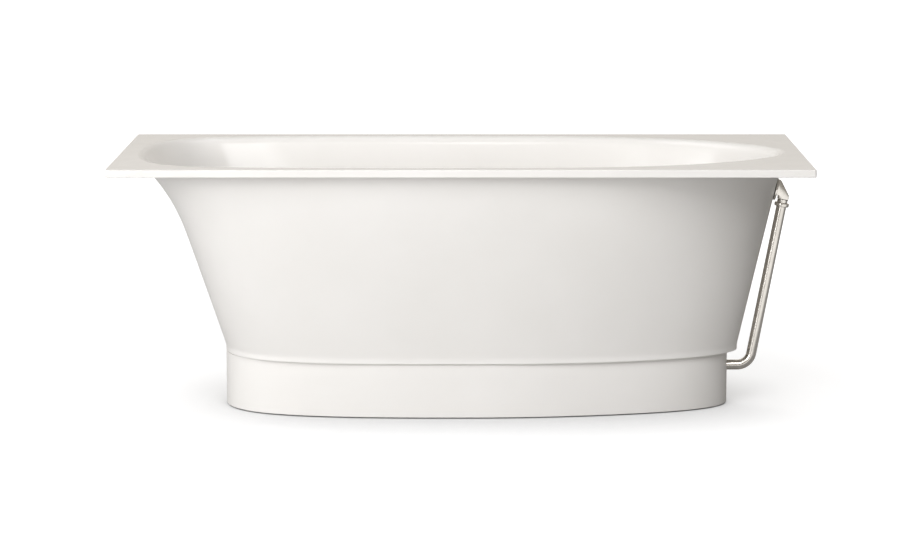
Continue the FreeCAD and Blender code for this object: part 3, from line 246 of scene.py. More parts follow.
# ------------------------------------------------------------------ outlines
def along_oval(toe, nose, beam, nose_fullness, nose_taper, toe_taper, toe_round, nose_round):
    """Points round a closed cubic curve on twelve controls, and the outward normals there."""
    fore, aft = nose - nose_taper, toe - toe_taper
    half = [
        (nose + nose_round / 2, 0 * beam), (nose - nose_round, nose_fullness * beam),
        (fore, beam), ((fore - aft) / 2, beam), (-aft, beam),
        (-toe + toe_round, TOE_FULLNESS * beam), (-toe - toe_round / 2, 0 * beam),
    ]
    controls = half + [(x, -y) for x, y in half[-2:0:-1]]
    blank = np.zeros(AROUND)
    poles = np.stack([np.stack([x + blank, y + blank], axis=-1) for x, y in controls], axis=1)
    first = np.floor(STEPS).astype(int)
    t = STEPS - first
    weights = ((1 - t) ** 3 / 6, (3 * t**3 - 6 * t**2 + 4) / 6,
               (-3 * t**3 + 3 * t**2 + 3 * t + 1) / 6, t**3 / 6)
    slopes = (-(1 - t) ** 2 / 2, (3 * t**2 - 4 * t) / 2, (-3 * t**2 + 2 * t + 1) / 2, t**2 / 2)
    here = np.arange(AROUND)
    span = [poles[here, (first + k) % SPANS] for k in range(4)]
    points = sum(weight[:, None] * pole for weight, pole in zip(weights, span))
    along = sum(slope[:, None] * pole for slope, pole in zip(slopes, span))
    normals = np.column_stack([along[:, 1], -along[:, 0]])
    return points, normals / np.linalg.norm(normals, axis=1, keepdims=True)


def basin_outline(levels, inset=0.0):
    """Outline of the basin's wall; each point round it may be at a level of its own."""
    share = (np.broadcast_to(levels, AROUND) - BAND_TOP) / WALL_RISE
    flare = np.maximum(0.0, (share - 0.6) / 0.4) ** 2.4
    return along_oval(
        toe=BASE_TOE + 157.0 * share + 46.0 * flare - inset,
        nose=BASE_NOSE + NOSE_LEAN * share - inset,
        beam=BASE_BEAM + 109.0 * share - inset,
        nose_fullness=0.68 - 0.213 * share,
        nose_taper=452.0 - 105.0 * share - inset,
        toe_taper=297.0 - 85.0 * share - inset,
        toe_round=62.0 - 32.0 * share,
        nose_round=105.0 - 53.0 * share)


def plinth_outline(inset=0.0):
    return along_oval(
        toe=BASE_TOE - inset, nose=BASE_NOSE - 25.0 - inset, beam=BASE_BEAM - 9.0 - inset,
        nose_fullness=0.635, nose_taper=476.0 - inset, toe_taper=350.0 - inset,
        toe_round=63.0, nose_round=73.0)


def ring_at(points, level):
    return np.column_stack([points, np.broadcast_to(level, AROUND)])


def wall_slope(levels, inset):
    """How fast the wall moves outward as it rises."""
    low, normals = basin_outline(levels - 0.5, inset)
    high, _ = basin_outline(levels + 0.5, inset)
    return ((high - low) * normals).sum(axis=1)


def ball_over_wall(radius, ceiling, inset):
    """A ball rolled along the wall's outward side under a level ceiling: centre and contact."""
    levels = np.full(AROUND, ceiling - radius)
    for _ in range(6):
        slope = wall_slope(levels, inset)
        levels = ceiling - radius + radius * slope / np.sqrt(1 + slope**2)
    contact, normals = basin_outline(levels, inset)
    centre = contact + normals * (radius / np.sqrt(1 + slope**2))[:, None]
    return centre, normals, levels, np.arctan2(1.0, slope)


def ball_in_corner(radius, floor, inset):
    """A ball rolled along the wall's inner side on the floor."""
    levels = np.full(AROUND, floor + radius)
    for _ in range(6):
        slope = wall_slope(levels, inset)
        levels = floor + radius - radius * slope / np.sqrt(1 + slope**2)
    contact, normals = basin_outline(levels, inset)
    centre = contact - normals * (radius / np.sqrt(1 + slope**2))[:, None]
    return centre, normals, levels, np.arctan2(1.0, slope)


def deck_frame():
    """The deck's edge for each point round the oval: a core point and an outward direction."""
    rim, _ = basin_outline(DECK_TOP, WALL)
    core_x, core_y = DECK_HALF_LENGTH - DECK_CORNER, DECK_HALF_WIDTH - DECK_CORNER
    angle = np.arctan2(rim[:, 1] / RIM_HALF_WIDTH, rim[:, 0] / RIM_HALF_LENGTH)
    reach = np.maximum(np.abs(np.cos(angle)), np.abs(np.sin(angle)))
    x, y = DECK_HALF_LENGTH * np.cos(angle) / reach, DECK_HALF_WIDTH * np.sin(angle) / reach
    ends = np.abs(np.cos(angle)) > np.abs(np.sin(angle))
    core = np.column_stack([np.clip(x, -core_x, core_x), np.clip(y, -core_y, core_y)])
    endways, sideways = np.column_stack([np.sign(x), 0 * y]), np.column_stack([0 * x, np.sign(y)])
    out = np.where(ends[:, None], endways, sideways)
    for quarter in range(4):                    # seven points turn round each corner
        middle = math.pi / 4 + quarter * math.pi / 2
        nearest = int(np.argmin(np.abs(np.angle(np.exp(1j * (angle - middle))))))
        for k in range(-3, 4):
            turn = middle + k * math.pi / 12
            i = (nearest + k) % AROUND
            core[i] = (math.copysign(core_x, math.cos(middle)),
                       math.copysign(core_y, math.sin(middle)))
            out[i] = (math.cos(turn), math.sin(turn))
    return core, out


# ------------------------------------------------------------------ finishes
def new_group(name, inputs, outputs):
    """A shader group with number inputs and the given outputs, and shorthands to fill it."""
    group = bpy.data.node_groups.new(name, "ShaderNodeTree")
    for label, default in inputs.items():
        socket = group.interface.new_socket(label, in_out="INPUT", socket_type="NodeSocketFloat")
        socket.default_value = default
    for label, kind in outputs.items():
        group.interface.new_socket(label, in_out="OUTPUT", socket_type=kind)
    start = group.nodes.new("NodeGroupInput")
    end = group.nodes.new("NodeGroupOutput")
    return group, start, end


def add_node(tree, kind, links=None, **settings):
    """A node with its settings, and its inputs given as sockets or plain values."""
    node = tree.nodes.new(kind)
    for key, setting in settings.items():
        setattr(node, key, setting)
    for socket, source in (links or {}).items():
        target = node.inputs[socket]
        if isinstance(source, bpy.types.NodeSocket):
            tree.links.new(source, target)
        else:
            target.default_value = source
    return node


def remap(tree, source, low, high, to_low, to_high, ease="LINEAR"):
    node = add_node(tree, "ShaderNodeMapRange", {
        "Value": source, "From Min": low, "From Max": high, "To Min": to_low, "To Max": to_high},
        interpolation_type=ease)
    return node.outputs["Result"]


def worked_out(tree, operation, *values):
    """Result of a Math node on sockets or plain values."""
    node = add_node(tree, "ShaderNodeMath", dict(enumerate(values)), operation=operation)
    return node.outputs["Value"]


def added(tree, first, second, share):
    """first + second * share"""
    return worked_out(tree, "MULTIPLY_ADD", second, share, first)


def cast_texture_group():
    """Casting texture: broad clouding, faint orange peel and scattered fine pits."""
    group, start, end = new_group("cast_texture", {
        "Cloud Size": 3.0, "Peel Size": 420.0, "Pit Size": 900.0}, {
        "Cloud": "NodeSocketFloat", "Peel": "NodeSocketFloat", "Pits": "NodeSocketFloat"})
    place = add_node(group, "ShaderNodeTexCoord").outputs["Object"]
    cloud = add_node(group, "ShaderNodeTexNoise", {
        "Vector": place, "Scale": start.outputs["Cloud Size"], "Detail": 3.0, "Roughness": 0.55})
    peel = add_node(group, "ShaderNodeTexNoise", {
        "Vector": place, "Scale": start.outputs["Peel Size"], "Detail": 2.0, "Roughness": 0.5})
    cells = add_node(group, "ShaderNodeTexVoronoi", {
        "Vector": place, "Scale": start.outputs["Pit Size"]})
    group.links.new(remap(group, cloud.outputs["Fac"], 0.3, 0.7, 0.0, 1.0), end.inputs["Cloud"])
    group.links.new(peel.outputs["Fac"], end.inputs["Peel"])
    pits = remap(group, cells.outputs["Distance"], 0.0, 0.12, 1.0, 0.0)
    group.links.new(pits, end.inputs["Pits"])
    return group


def handled_group():
    """Signs of handling: soft smears, fine hairline scratches and settled dust on top faces."""
    group, start, end = new_group("handled", {
        "Smear Size": 14.0, "Scratch Size": 90.0, "Scratch Stretch": 12.0}, {
        "Smear": "NodeSocketFloat", "Scratch": "NodeSocketFloat", "Dust": "NodeSocketFloat"})
    place = add_node(group, "ShaderNodeTexCoord").outputs["Object"]
    smear = add_node(group, "ShaderNodeTexNoise", {
        "Vector": place, "Scale": start.outputs["Smear Size"], "Detail": 4.0, "Roughness": 0.6,
        "Distortion": 0.6})
    squeeze = add_node(group, "ShaderNodeCombineXYZ", {
        "X": start.outputs["Scratch Stretch"], "Y": start.outputs["Scratch Stretch"], "Z": 1.0})
    drawn = add_node(group, "ShaderNodeVectorMath", {
        0: place, 1: squeeze.outputs["Vector"]}, operation="MULTIPLY")
    scratch = add_node(group, "ShaderNodeTexNoise", {
        "Vector": drawn.outputs["Vector"], "Scale": start.outputs["Scratch Size"], "Detail": 5.0})
    facing = add_node(group, "ShaderNodeNewGeometry").outputs["Normal"]
    upward = add_node(group, "ShaderNodeSeparateXYZ", {"Vector": facing}).outputs["Z"]
    speckle = add_node(group, "ShaderNodeTexNoise", {"Vector": place, "Scale": 60.0, "Detail": 6.0})
    settled = worked_out(group, "MULTIPLY", remap(group, upward, 0.6, 1.0, 0.0, 1.0),
                         remap(group, speckle.outputs["Fac"], 0.45, 0.75, 0.0, 1.0))
    group.links.new(remap(group, smear.outputs["Fac"], 0.35, 0.7, 0.0, 1.0), end.inputs["Smear"])
    scratches = remap(group, scratch.outputs["Fac"], 0.35, 0.65, 0.0, 1.0)
    group.links.new(scratches, end.inputs["Scratch"])
    group.links.new(settled, end.inputs["Dust"])
    return group


CAST_TEXTURE = cast_texture_group()
HANDLED = handled_group()


def new_finish(name):
    finish = bpy.data.materials.new(name)
    finish.use_nodes = True
    tree = finish.node_tree
    tree.nodes.clear()
    shader = add_node(tree, "ShaderNodeBsdfPrincipled")
    add_node(tree, "ShaderNodeOutputMaterial", {"Surface": shader.outputs["BSDF"]})
    return finish, tree, shader


def placed_group(tree, group, **sizes):
    node = add_node(tree, "ShaderNodeGroup", node_tree=group)
    for label, size in sizes.items():
        node.inputs[label.replace("_", " ").title()].default_value = size
    return node


def tinted(tree, share, low, high):
    """A colour between two, by a share that changes over the surface."""
    mix = add_node(tree, "ShaderNodeMix", data_type="RGBA")
    tree.links.new(share, mix.inputs["Factor"])
    mix.inputs["A"].default_value = (*low, 1.0)
    mix.inputs["B"].default_value = (*high, 1.0)
    return mix.outputs["Result"]


def bumped(tree, shader, height, distance, strength):
    bump = add_node(tree, "ShaderNodeBump", {
        "Height": height, "Distance": distance, "Strength": strength})
    tree.links.new(bump.outputs["Normal"], shader.inputs["Normal"])


def mineral_finish(name, smooth, rough, coat):
    """Cast mineral: warm white, faintly clouded; polished where bathers touch it, satin outside."""
    finish, tree, shader = new_finish(name)
    cast = placed_group(tree, CAST_TEXTURE, cloud_size=3.2, peel_size=380.0, pit_size=1100.0)
    handled = placed_group(tree, HANDLED, smear_size=7.0, scratch_size=150.0)
    colour = tinted(tree, cast.outputs["Cloud"], (0.80, 0.782, 0.748), (0.83, 0.812, 0.782))
    tree.links.new(colour, shader.inputs["Base Color"])
    spread = remap(tree, handled.outputs["Smear"], 0.0, 1.0, smooth, rough)
    tree.links.new(spread, shader.inputs["Roughness"])
    shader.inputs["Coat Weight"].default_value = coat
    shader.inputs["Coat Roughness"].default_value = 0.06
    shader.inputs["IOR"].default_value = 1.5
    relief = added(tree, cast.outputs["Peel"], cast.outputs["Pits"], -0.25)
    bumped(tree, shader, relief, distance=0.00003, strength=0.5)
    return finish


def metal_finish(name, light, dark, smooth, rough, scratch_depth=0.00001):
    """Metal with a slightly uneven polish and hairline scratches."""
    finish, tree, shader = new_finish(name)
    handled = placed_group(tree, HANDLED, smear_size=22.0, scratch_size=240.0)
    tree.links.new(tinted(tree, handled.outputs["Smear"], light, dark), shader.inputs["Base Color"])
    shader.inputs["Metallic"].default_value = 1.0
    mottled = remap(tree, handled.outputs["Smear"], 0.0, 1.0, smooth, rough)
    scratched = added(tree, mottled, handled.outputs["Scratch"], 0.03)
    tree.links.new(scratched, shader.inputs["Roughness"])
    bumped(tree, shader, handled.outputs["Scratch"], distance=scratch_depth, strength=0.4)
    return finish


def moulded_finish(name, light, dark, rough, sheen=0.0):
    """Moulded rubber or plastic: fine mould grain, dulled a little where dust settles."""
    finish, tree, shader = new_finish(name)
    cast = placed_group(tree, CAST_TEXTURE, cloud_size=30.0, peel_size=900.0, pit_size=1500.0)
    handled = placed_group(tree, HANDLED, smear_size=18.0, scratch_size=180.0)
    tree.links.new(tinted(tree, cast.outputs["Cloud"], dark, light), shader.inputs["Base Color"])
    dulled = remap(tree, handled.outputs["Dust"], 0.0, 1.0, rough, rough + 0.15)
    tree.links.new(dulled, shader.inputs["Roughness"])
    shader.inputs["Sheen Weight"].default_value = sheen
    bumped(tree, shader, cast.outputs["Peel"], distance=0.00004, strength=0.6)
    return finish


SATIN_MINERAL = mineral_finish("satin_mineral", smooth=0.32, rough=0.38, coat=0.0)
POLISHED_MINERAL = mineral_finish("polished_mineral", smooth=0.13, rough=0.18, coat=0.25)
NICKEL = metal_finish("polished_nickel", (0.76, 0.725, 0.67), (0.70, 0.665, 0.61),
                      smooth=0.12, rough=0.17, scratch_depth=0.000002)
CHROME = metal_finish("polished_chrome", (0.80, 0.81, 0.82), (0.74, 0.75, 0.77),
                      smooth=0.05, rough=0.10)
BRASS = metal_finish("brass", (0.78, 0.58, 0.27), (0.66, 0.46, 0.20), smooth=0.22, rough=0.34)
ZINC = metal_finish("zinc_steel", (0.66, 0.68, 0.70), (0.52, 0.53, 0.52), smooth=0.28, rough=0.42)
SPRING = metal_finish("spring_steel", (0.56, 0.56, 0.57), (0.45, 0.45, 0.46),
                      smooth=0.22, rough=0.32)
SEAL_RUBBER = moulded_finish("seal_rubber", (0.035, 0.034, 0.033), (0.022, 0.022, 0.022),
                             rough=0.55, sheen=0.1)
SEALANT = moulded_finish("sealant", (0.74, 0.725, 0.69), (0.68, 0.665, 0.63), rough=0.42)
WHITE_PLASTIC = moulded_finish("white_plastic", (0.74, 0.74, 0.73), (0.68, 0.68, 0.67), rough=0.34)
BLOCK_PLASTIC = moulded_finish("block_plastic", (0.30, 0.30, 0.30), (0.24, 0.24, 0.24), rough=0.5)
FOOT_PLASTIC = moulded_finish("foot_plastic", (0.045, 0.045, 0.047), (0.03, 0.03, 0.032),
                              rough=0.48)

FINISHES = {
    "mineral": SATIN_MINERAL, "sealant": SEALANT, "polished_nickel": NICKEL,
    "polished_chrome": CHROME, "brass": BRASS, "zinc_steel": ZINC, "spring_steel": SPRING,
    "seal_rubber": SEAL_RUBBER, "white_plastic": WHITE_PLASTIC, "block_plastic": BLOCK_PLASTIC,
    "foot_plastic": FOOT_PLASTIC,
}


# ------------------------------------------------------------------ basin and plinth
def make_basin():
    """The cast basin: foot, flared wall, deck with rolled lip, and well with rounded floor."""
    recess, _ = plinth_outline(PLINTH_WALL + LEDGE)
    recess_edge, _ = plinth_outline(PLINTH_WALL + LEDGE - 1.0)
    rings = [ring_at(recess, UNDERSIDE), ring_at(recess, SHELL_BASE + 1.0),
             ring_at(recess_edge, SHELL_BASE)]

    foot, out = basin_outline(BAND_TOP)
    for angle in QUARTER_TURN:
        rings.append(ring_at(foot + out * FOOT_SOFTENING * (math.sin(angle) - 1),
                             SHELL_BASE + FOOT_SOFTENING * (1 - math.cos(angle))))
    for level in (143.0, 146.5):
        rings.append(ring_at(foot, level))
    for level in (148.5, 150.5, 152.5, 154.5, 156.5):        # the band bends into the wall
        risen = (level - BAND_TOP + BAND_SOFTENING) ** 2 / (4 * BAND_SOFTENING)
        rings.append(ring_at(basin_outline(BAND_TOP + risen)[0], level))
    cove, out, contact, end_angle = ball_over_wall(COVE_ROUND, DECK_UNDER, 0.0)
    for share in np.linspace(0.0, 1.0, 44)[1:]:
        levels = WALL_START + (contact - WALL_START) * share
        rings.append(ring_at(basin_outline(levels)[0], levels))
    for share in (0.75, 0.5, 0.25, 0.0):
        angle = end_angle * share
        rings.append(ring_at(cove - out * (COVE_ROUND * np.sin(angle))[:, None],
                             DECK_UNDER - COVE_ROUND + COVE_ROUND * np.cos(angle)))

    core, out = deck_frame()
    for angle in QUARTER_TURN:
        reach = DECK_CORNER - DECK_SOFTENING * (1 - math.sin(angle))
        level = DECK_UNDER + DECK_SOFTENING * (1 - math.cos(angle))
        rings.append(ring_at(core + out * reach, level))
    first_polished = len(rings)
    for angle in QUARTER_TURN[::-1]:
        reach = DECK_CORNER - DECK_SOFTENING * (1 - math.sin(angle))
        level = DECK_TOP - DECK_SOFTENING * (1 - math.cos(angle))
        rings.append(ring_at(core + out * reach, level))

    lip, out, lip_contact, end_angle = ball_over_wall(LIP_ROUND, DECK_TOP, WALL)
    for share in np.linspace(0.0, 1.0, 13):
        angle = end_angle * share
        rings.append(ring_at(lip - out * (LIP_ROUND * np.sin(angle))[:, None],
                             DECK_TOP - LIP_ROUND + LIP_ROUND * np.cos(angle)))
    corner, out, floor_contact, end_angle = ball_in_corner(FLOOR_ROUND, FLOOR, WALL)
    for share in np.linspace(0.0, 1.0, 40)[1:]:
        levels = lip_contact + (floor_contact - lip_contact) * share
        rings.append(ring_at(basin_outline(levels, WALL)[0], levels))
    for share in np.linspace(1.0, 0.0, 13)[1:]:
        angle = end_angle * share
        rings.append(ring_at(corner + out * (FLOOR_ROUND * np.sin(angle))[:, None],
                             FLOOR + FLOOR_ROUND - FLOOR_ROUND * np.cos(angle)))

    basin = piece_of("basin", [skin_of(rings)], SATIN_MINERAL, ("bath_shell",))
    basin.data.materials.append(POLISHED_MINERAL)
    top_faces = first_polished * AROUND
    for face in basin.data.polygons:
        if face.index >= top_faces and face.index != len(basin.data.polygons) - 2:
            face.material_index = 1

    low, high, rim = -22.0, 2.0, WASTE_RECESS + RECESS_LIP
    waste = [(ON_AXIS, low), (WASTE_HOLE, low), (WASTE_HOLE, -RECESS_DEPTH),
             (WASTE_RECESS, -RECESS_DEPTH)]
    waste += [(rim - RECESS_LIP * math.cos(angle), -RECESS_LIP + RECESS_LIP * math.sin(angle))
              for angle in QUARTER_TURN]
    waste += [(rim, high), (ON_AXIS, high)]
    inner, outer = -34.0, 17.0
    seats = [(ON_AXIS, inner), (INNER_SPOT, inner), (INNER_SPOT, INSIDE_SEAT),
             (OVERFLOW_HOLE, INSIDE_SEAT), (OVERFLOW_HOLE, -SPOT_DEPTH),
             (OUTER_SPOT, -SPOT_DEPTH), (OUTER_SPOT, outer), (ON_AXIS, outer)]
    carved(basin, [cutter_from([skin_of(turned_rings(waste, at_floor(), 128))]),
                   cutter_from([skin_of(turned_rings(seats, on_nose(), 128))])])
    smooth_by_angle(basin, 30.0)
    even_normals(basin)


def make_plinth():
    """The plinth ring, with softened outer edges and the hole for the overflow pipe."""
    rings = []
    outline, out = plinth_outline()
    hollow, _ = plinth_outline(PLINTH_WALL)
    soft = PLINTH_SOFTENING
    for angle in QUARTER_TURN:
        rings.append(ring_at(outline + out * soft * (math.sin(angle) - 1),
                             PLINTH_FOOT + soft * (1 - math.cos(angle))))
    for level in np.linspace(12.0, 128.0, 8):
        rings.append(ring_at(outline, level))
    for angle in QUARTER_TURN[::-1]:
        rings.append(ring_at(outline + out * soft * (math.sin(angle) - 1),
                             PLINTH_TOP - soft * (1 - math.cos(angle))))
    rings += [ring_at(hollow, PLINTH_TOP), ring_at(hollow, PLINTH_FOOT)]
    plinth = piece_of("plinth", [skin_of(rings, closed=True)], SATIN_MINERAL, ("plinth_ring",))
    middle = Matrix.Translation((BASE_NOSE - 25.0 - PLINTH_WALL / 2, 0.0, RUN_LEVEL))
    across = middle @ Matrix.Rotation(math.pi / 2, 4, "Y")
    radius, reach = PIPE_RADIUS + PIPE_HOLE_GAP, 30.0
    hole = [(ON_AXIS, -reach), (radius, -reach), (radius, reach), (ON_AXIS, reach)]
    carved(plinth, [cutter_from([skin_of(turned_rings(hole, across, 64))])])
    smooth_by_angle(plinth, 30.0)
    even_normals(plinth)


def make_joint_bead():
    """The jointing bead between plinth and basin, tooled slightly hollow."""
    outline, out = plinth_outline(BEAD_SETBACK)
    hollow, _ = plinth_outline(BEAD_SETBACK + BEAD_WIDTH)
    height = SHELL_BASE - PLINTH_TOP
    rings = [ring_at(outline + out * BEAD_HOLLOW * (4 * (share - 0.5) ** 2 - 1),
                     PLINTH_TOP + height * share) for share in np.linspace(0.0, 1.0, 6)]
    rings += [ring_at(hollow, SHELL_BASE), ring_at(hollow, PLINTH_TOP)]
    piece_of("joint_bead", [skin_of(rings, closed=True)], SEALANT, ("plinth_bead",))


# ------------------------------------------------------------------ overflow
def pipe_path():
    """Middle line of the pipe: along from the tee, round one bend, and up beside the nose."""
    top = on_nose() @ Vector((PIPE_TOP, 0.0, PIPE_STANDOFF))
    corner_x = top.x - (top.z - RUN_LEVEL) * math.tan(PIPE_RAKE)
    setback = PIPE_BEND * math.tan((math.pi / 2 - PIPE_RAKE) / 2)
    centre_x, centre_z = corner_x - setback, RUN_LEVEL + PIPE_BEND
    stations = [(WASTE_X + PIPE_START, RUN_LEVEL, 0.0)]
    for angle in np.linspace(0.0, math.pi / 2 - PIPE_RAKE, 25):
        stations.append((centre_x + PIPE_BEND * math.sin(angle),
                         centre_z - PIPE_BEND * math.cos(angle), angle))
    x, z, turn = stations[-1]
    for share in (0.25, 0.5, 0.75, 1.0):
        stations.append((x + (top.x - x) * share, z + (top.z - z) * share, turn))
    return stations


def make_overflow_pipe():
    """The bent pipe, hollow from end to end."""
    angles = np.arange(64) * 2 * math.pi / 64
    rings = []
    path = pipe_path()
    for radius, stations in ((PIPE_RADIUS, path), (PIPE_RADIUS - PIPE_WALL, path[::-1])):
        for x, z, turn in stations:
            across, aside = radius * np.cos(angles), -radius * np.sin(angles)
            rings.append(np.column_stack([
                x - math.sin(turn) * across, aside, z + math.cos(turn) * across]))
    piece_of("overflow_pipe", [skin_of(rings, closed=True)], NICKEL, ("overflow_tube",),
             sharp=50.0)


def make_overflow_cover():
    """Cup-shaped cover inside the basin, with twelve water slots round its rim."""
    skin, radius, hole, back = 2.0, 31.0, 3.1, COVER_BACK
    cup = rounded([
        (hole, back), (radius, back), (radius, INSIDE_SEAT), (radius - skin, INSIDE_SEAT),
        (radius - skin, back + skin), (hole, back + skin),
    ], [0.3, 2.6, 0.6, 0.6, 0.9, 0.3])
    cover = piece_of("overflow_cup", [skin_of(turned_rings(cup, on_nose(), 144), closed=True)],
                     NICKEL, ("overflow_cover",))
    slots = []
    for i in range(12):
        turn = on_nose() @ Matrix.Rotation(i * math.pi / 6, 4, "Z")
        slots.append(block((26.0, -3.0, INSIDE_SEAT - 4.5), (34.0, 3.0, INSIDE_SEAT + 2.0), turn))
    carved(cover, [cutter_from(slots)])
    smooth_by_angle(cover, 35.0)


def make_overflow_screw():
    """Slotted screw that holds the cover to the elbow's boss."""
    back, head, shank, tip = COVER_BACK, 5.5, 3.0, 6.0
    face = back - 2.2
    line = rounded([
        (ON_AXIS, face), (head, face), (head, back), (shank, back), (shank, tip), (ON_AXIS, tip),
    ], [0, 1.3, 0.2, 0, 0.8, 0])
    screw = piece_of("cover_screw", [skin_of(turned_rings(line, on_nose(), 64))], NICKEL,
                     ("overflow_screw",))
    slot = block((-9.0, -0.7, back - 3.0), (9.0, 0.7, back - 1.1), on_nose())
    carved(screw, [cutter_from([slot])])
    smooth_by_angle(screw, 35.0)


def make_overflow_collar():
    """Ring nut on the elbow's end, with a rolled shoulder."""
    bore, thread, cavity, outer = 12.86, 13.08, 15.5, 18.4
    low, lip, shoulder, high = -40.5, -38.0, -33.0, -31.0
    line = rounded([
        (bore, low), (outer, low), (outer, high), (thread, high), (thread, shoulder),
        (cavity, shoulder), (cavity, lip), (bore, lip),
    ], [0.3, 2.6, 1.3, 0.3, 0, 0, 0, 0], steps=6)
    piece_of("collar_nut", [skin_of(turned_rings(line, along_pipe(), 96), closed=True)], NICKEL,
             ("overflow_collar",))


def make_overflow_elbow():
    """Cast elbow: a round flange, a wedge-shaped knee with softened edges, and a round end."""
    half, bore, edge, back, front = PIPE_RADIUS + 0.3, ELBOW_BORE, 28.0, -0.5, 4.5
    flange = rounded([(bore, back), (edge, back), (edge, front), (bore, front)],
                     [0.3, 0.8, 1.2, 0.3])
    low, high = -33.0, -12.0
    end = rounded([(bore, low), (half, low), (half, high), (bore, high)], [0.2, 0.5, 0.5, 0.2])
    knee = rounded([
        (2.5, 24.46), (2.5, -14.0), (11.5, -14.0), (11.5, -23.1), (37.5, -23.1), (37.5, -10.5),
        (11.0, 24.46),
    ], [0, 0, 1.2, 0.8, 0.8, 3.5, 4.0], steps=6)
    boss, depth = 6.0, 7.5
    shells = [
        skin_of(turned_rings(flange, on_nose(), 96), closed=True),
        skin_of(turned_rings(end, along_pipe(), 64), closed=True),
        softened_slab(knee, half, 2.4, on_nose()),
        skin_of(turned_rings([
            (ON_AXIS, back), (boss, back), (boss, depth), (ON_AXIS, depth)], on_nose(), 32)),
        block((-1.5, -11.5, back), (1.5, 11.5, depth), on_nose()),
    ]
    piece_of("cast_elbow", shells, NICKEL, ("overflow_elbow",),
             sharp=40.0)


# ------------------------------------------------------------------ waste and plug
def make_waste_flange():
    """Dished flange with its tail, and the cross that holds the plug's barrel."""
    throat, tail, dish, rim = 20.5, 24.0, 26.0, 36.0
    line = rounded([
        (throat, -52.0), (tail, -52.0), (tail, -3.5), (rim, -3.5), (rim, 0.5), (dish, 0.5),
        (throat, -6.0),
    ], [0.4, 0.8, 0, 0.5, 1.6, 2.0, 3.0], steps=6)
    bore, outer, low, high = 7.06, 10.0, -46.0, -22.0
    hub = [(bore, low), (outer, low), (outer, high), (bore, high)]
    shells = [skin_of(turned_rings(line, at_floor(), 128), closed=True),
              skin_of(turned_rings(rounded(hub, [0.3] * 4), at_floor(), 48), closed=True)]
    for i in range(4):
        turn = at_floor() @ Matrix.Rotation(i * math.pi / 2, 4, "Z")
        shells.append(block((9.2, -1.5, low), (21.3, 1.5, high), turn))
    piece_of("waste_dish", shells, NICKEL, ("waste_flange",))


def make_plug_cap():
    """Gently domed cap that rides up on its stem when the plug opens."""
    bore, boss, edge, dome, low, end = 4.06, 7.0, 30.0, 28.6, 1.0, -3.0
    line = rounded([
        (ON_AXIS, low), (bore, low), (bore, end), (boss, end), (boss, low), (edge, low),
        (edge, 2.6),
    ], [0, 0, 0.3, 0.3, 0.4, 0.3, 0.9])
    line += [(radius, 4.5 - 1.75 * (radius / dome) ** 2.2)
             for radius in np.linspace(dome, ON_AXIS, 24)]
    piece_of("domed_cap", [skin_of(turned_rings(line, at_floor(), 128))], NICKEL, ("plug_cap",),
             body="plug")


# ------------------------------------------------------------------ carried-over nodes
def dress_nodes():
    """Every solid kept from the frame gets the finish of its own slot and smooth shading."""
    for entry in frame["record"]["subparts"]:
        obj = frame["nodes"][entry["node"]]
        obj.data.materials.clear()
        obj.data.materials.append(FINISHES[entry["material_slot"]])
        smooth_by_angle(obj, 32.0)


# ------------------------------------------------------------------ studio
def make_floor():
    """Pale studio floor. It glows for the camera, more so away from the bath, up to a white ground,
    and ambient occlusion darkens that glow round the bath as a painted shadow. For glossy rays only
    it shows two bright sheets in front of the bath, painted reflections for the bath to mirror."""
    mesh = bpy.data.meshes.new("studio_floor")
    half = 9.0
    corners = [(-half, -half, 0), (half, -half, 0), (half, half, 0), (-half, half, 0)]
    mesh.from_pydata(corners, [], [(0, 1, 2, 3)])
    floor = bpy.data.objects.new("studio_floor", mesh)
    bpy.context.scene.collection.objects.link(floor)
    finish, tree, shader = new_finish("studio_floor_paint")
    place = add_node(tree, "ShaderNodeTexCoord").outputs["Object"]
    grain = add_node(tree, "ShaderNodeTexNoise", {"Vector": place, "Scale": 40.0, "Detail": 4.0})
    tree.links.new(tinted(tree, grain.outputs["Fac"], (0.44, 0.44, 0.44), (0.46, 0.46, 0.46)),
                   shader.inputs["Base Color"])

    away = add_node(tree, "ShaderNodeVectorMath", {0: place}, operation="LENGTH").outputs["Value"]
    glow = remap(tree, away, 1.0, 2.6, 0.72, 1.1)
    # Painted shadow: ambient occlusion darkens the camera glow beside the plinth and under the
    # basin.
    clear = add_node(tree, "ShaderNodeAmbientOcclusion", {"Distance": 0.5}, samples=16)
    painted_shadow = remap(tree, clear.outputs["AO"], 0.05, 0.85, 0.0, 1.0)
    glow_under_painted_shadow = worked_out(tree, "MULTIPLY", glow, painted_shadow)

    # Painted reflections: two bright sheets on the floor in front of the bath, seen only by glossy
    # rays so the pipe and the wall mirror them.
    spot = add_node(tree, "ShaderNodeSeparateXYZ", {"Vector": place})
    nose_painted_reflection = remap(tree, spot.outputs["X"], 0.35, 0.6, 0.03, 0.72)
    toe_painted_reflection = remap(tree, spot.outputs["X"], 0.1, -0.2, 0.0, 0.35)
    sheets = worked_out(tree, "ADD", nose_painted_reflection, toe_painted_reflection)
    in_front = remap(tree, spot.outputs["Y"], -0.3, -0.7, 0.0, 1.0)
    painted_reflections = worked_out(tree, "MULTIPLY", sheets, in_front)

    # Camera rays see the glow with its painted shadow; glossy rays see the painted reflections.
    ray = add_node(tree, "ShaderNodeLightPath")
    straight = worked_out(tree, "MULTIPLY", glow_under_painted_shadow, ray.outputs["Is Camera Ray"])
    shown = added(tree, straight, painted_reflections, ray.outputs["Is Glossy Ray"])
    tree.links.new(shown, shader.inputs["Emission Strength"])
    shader.inputs["Emission Color"].default_value = (1.0, 1.0, 1.0, 1.0)
    shader.inputs["Roughness"].default_value = 0.9
    shader.inputs["Specular IOR Level"].default_value = 0.1
    mesh.materials.append(finish)


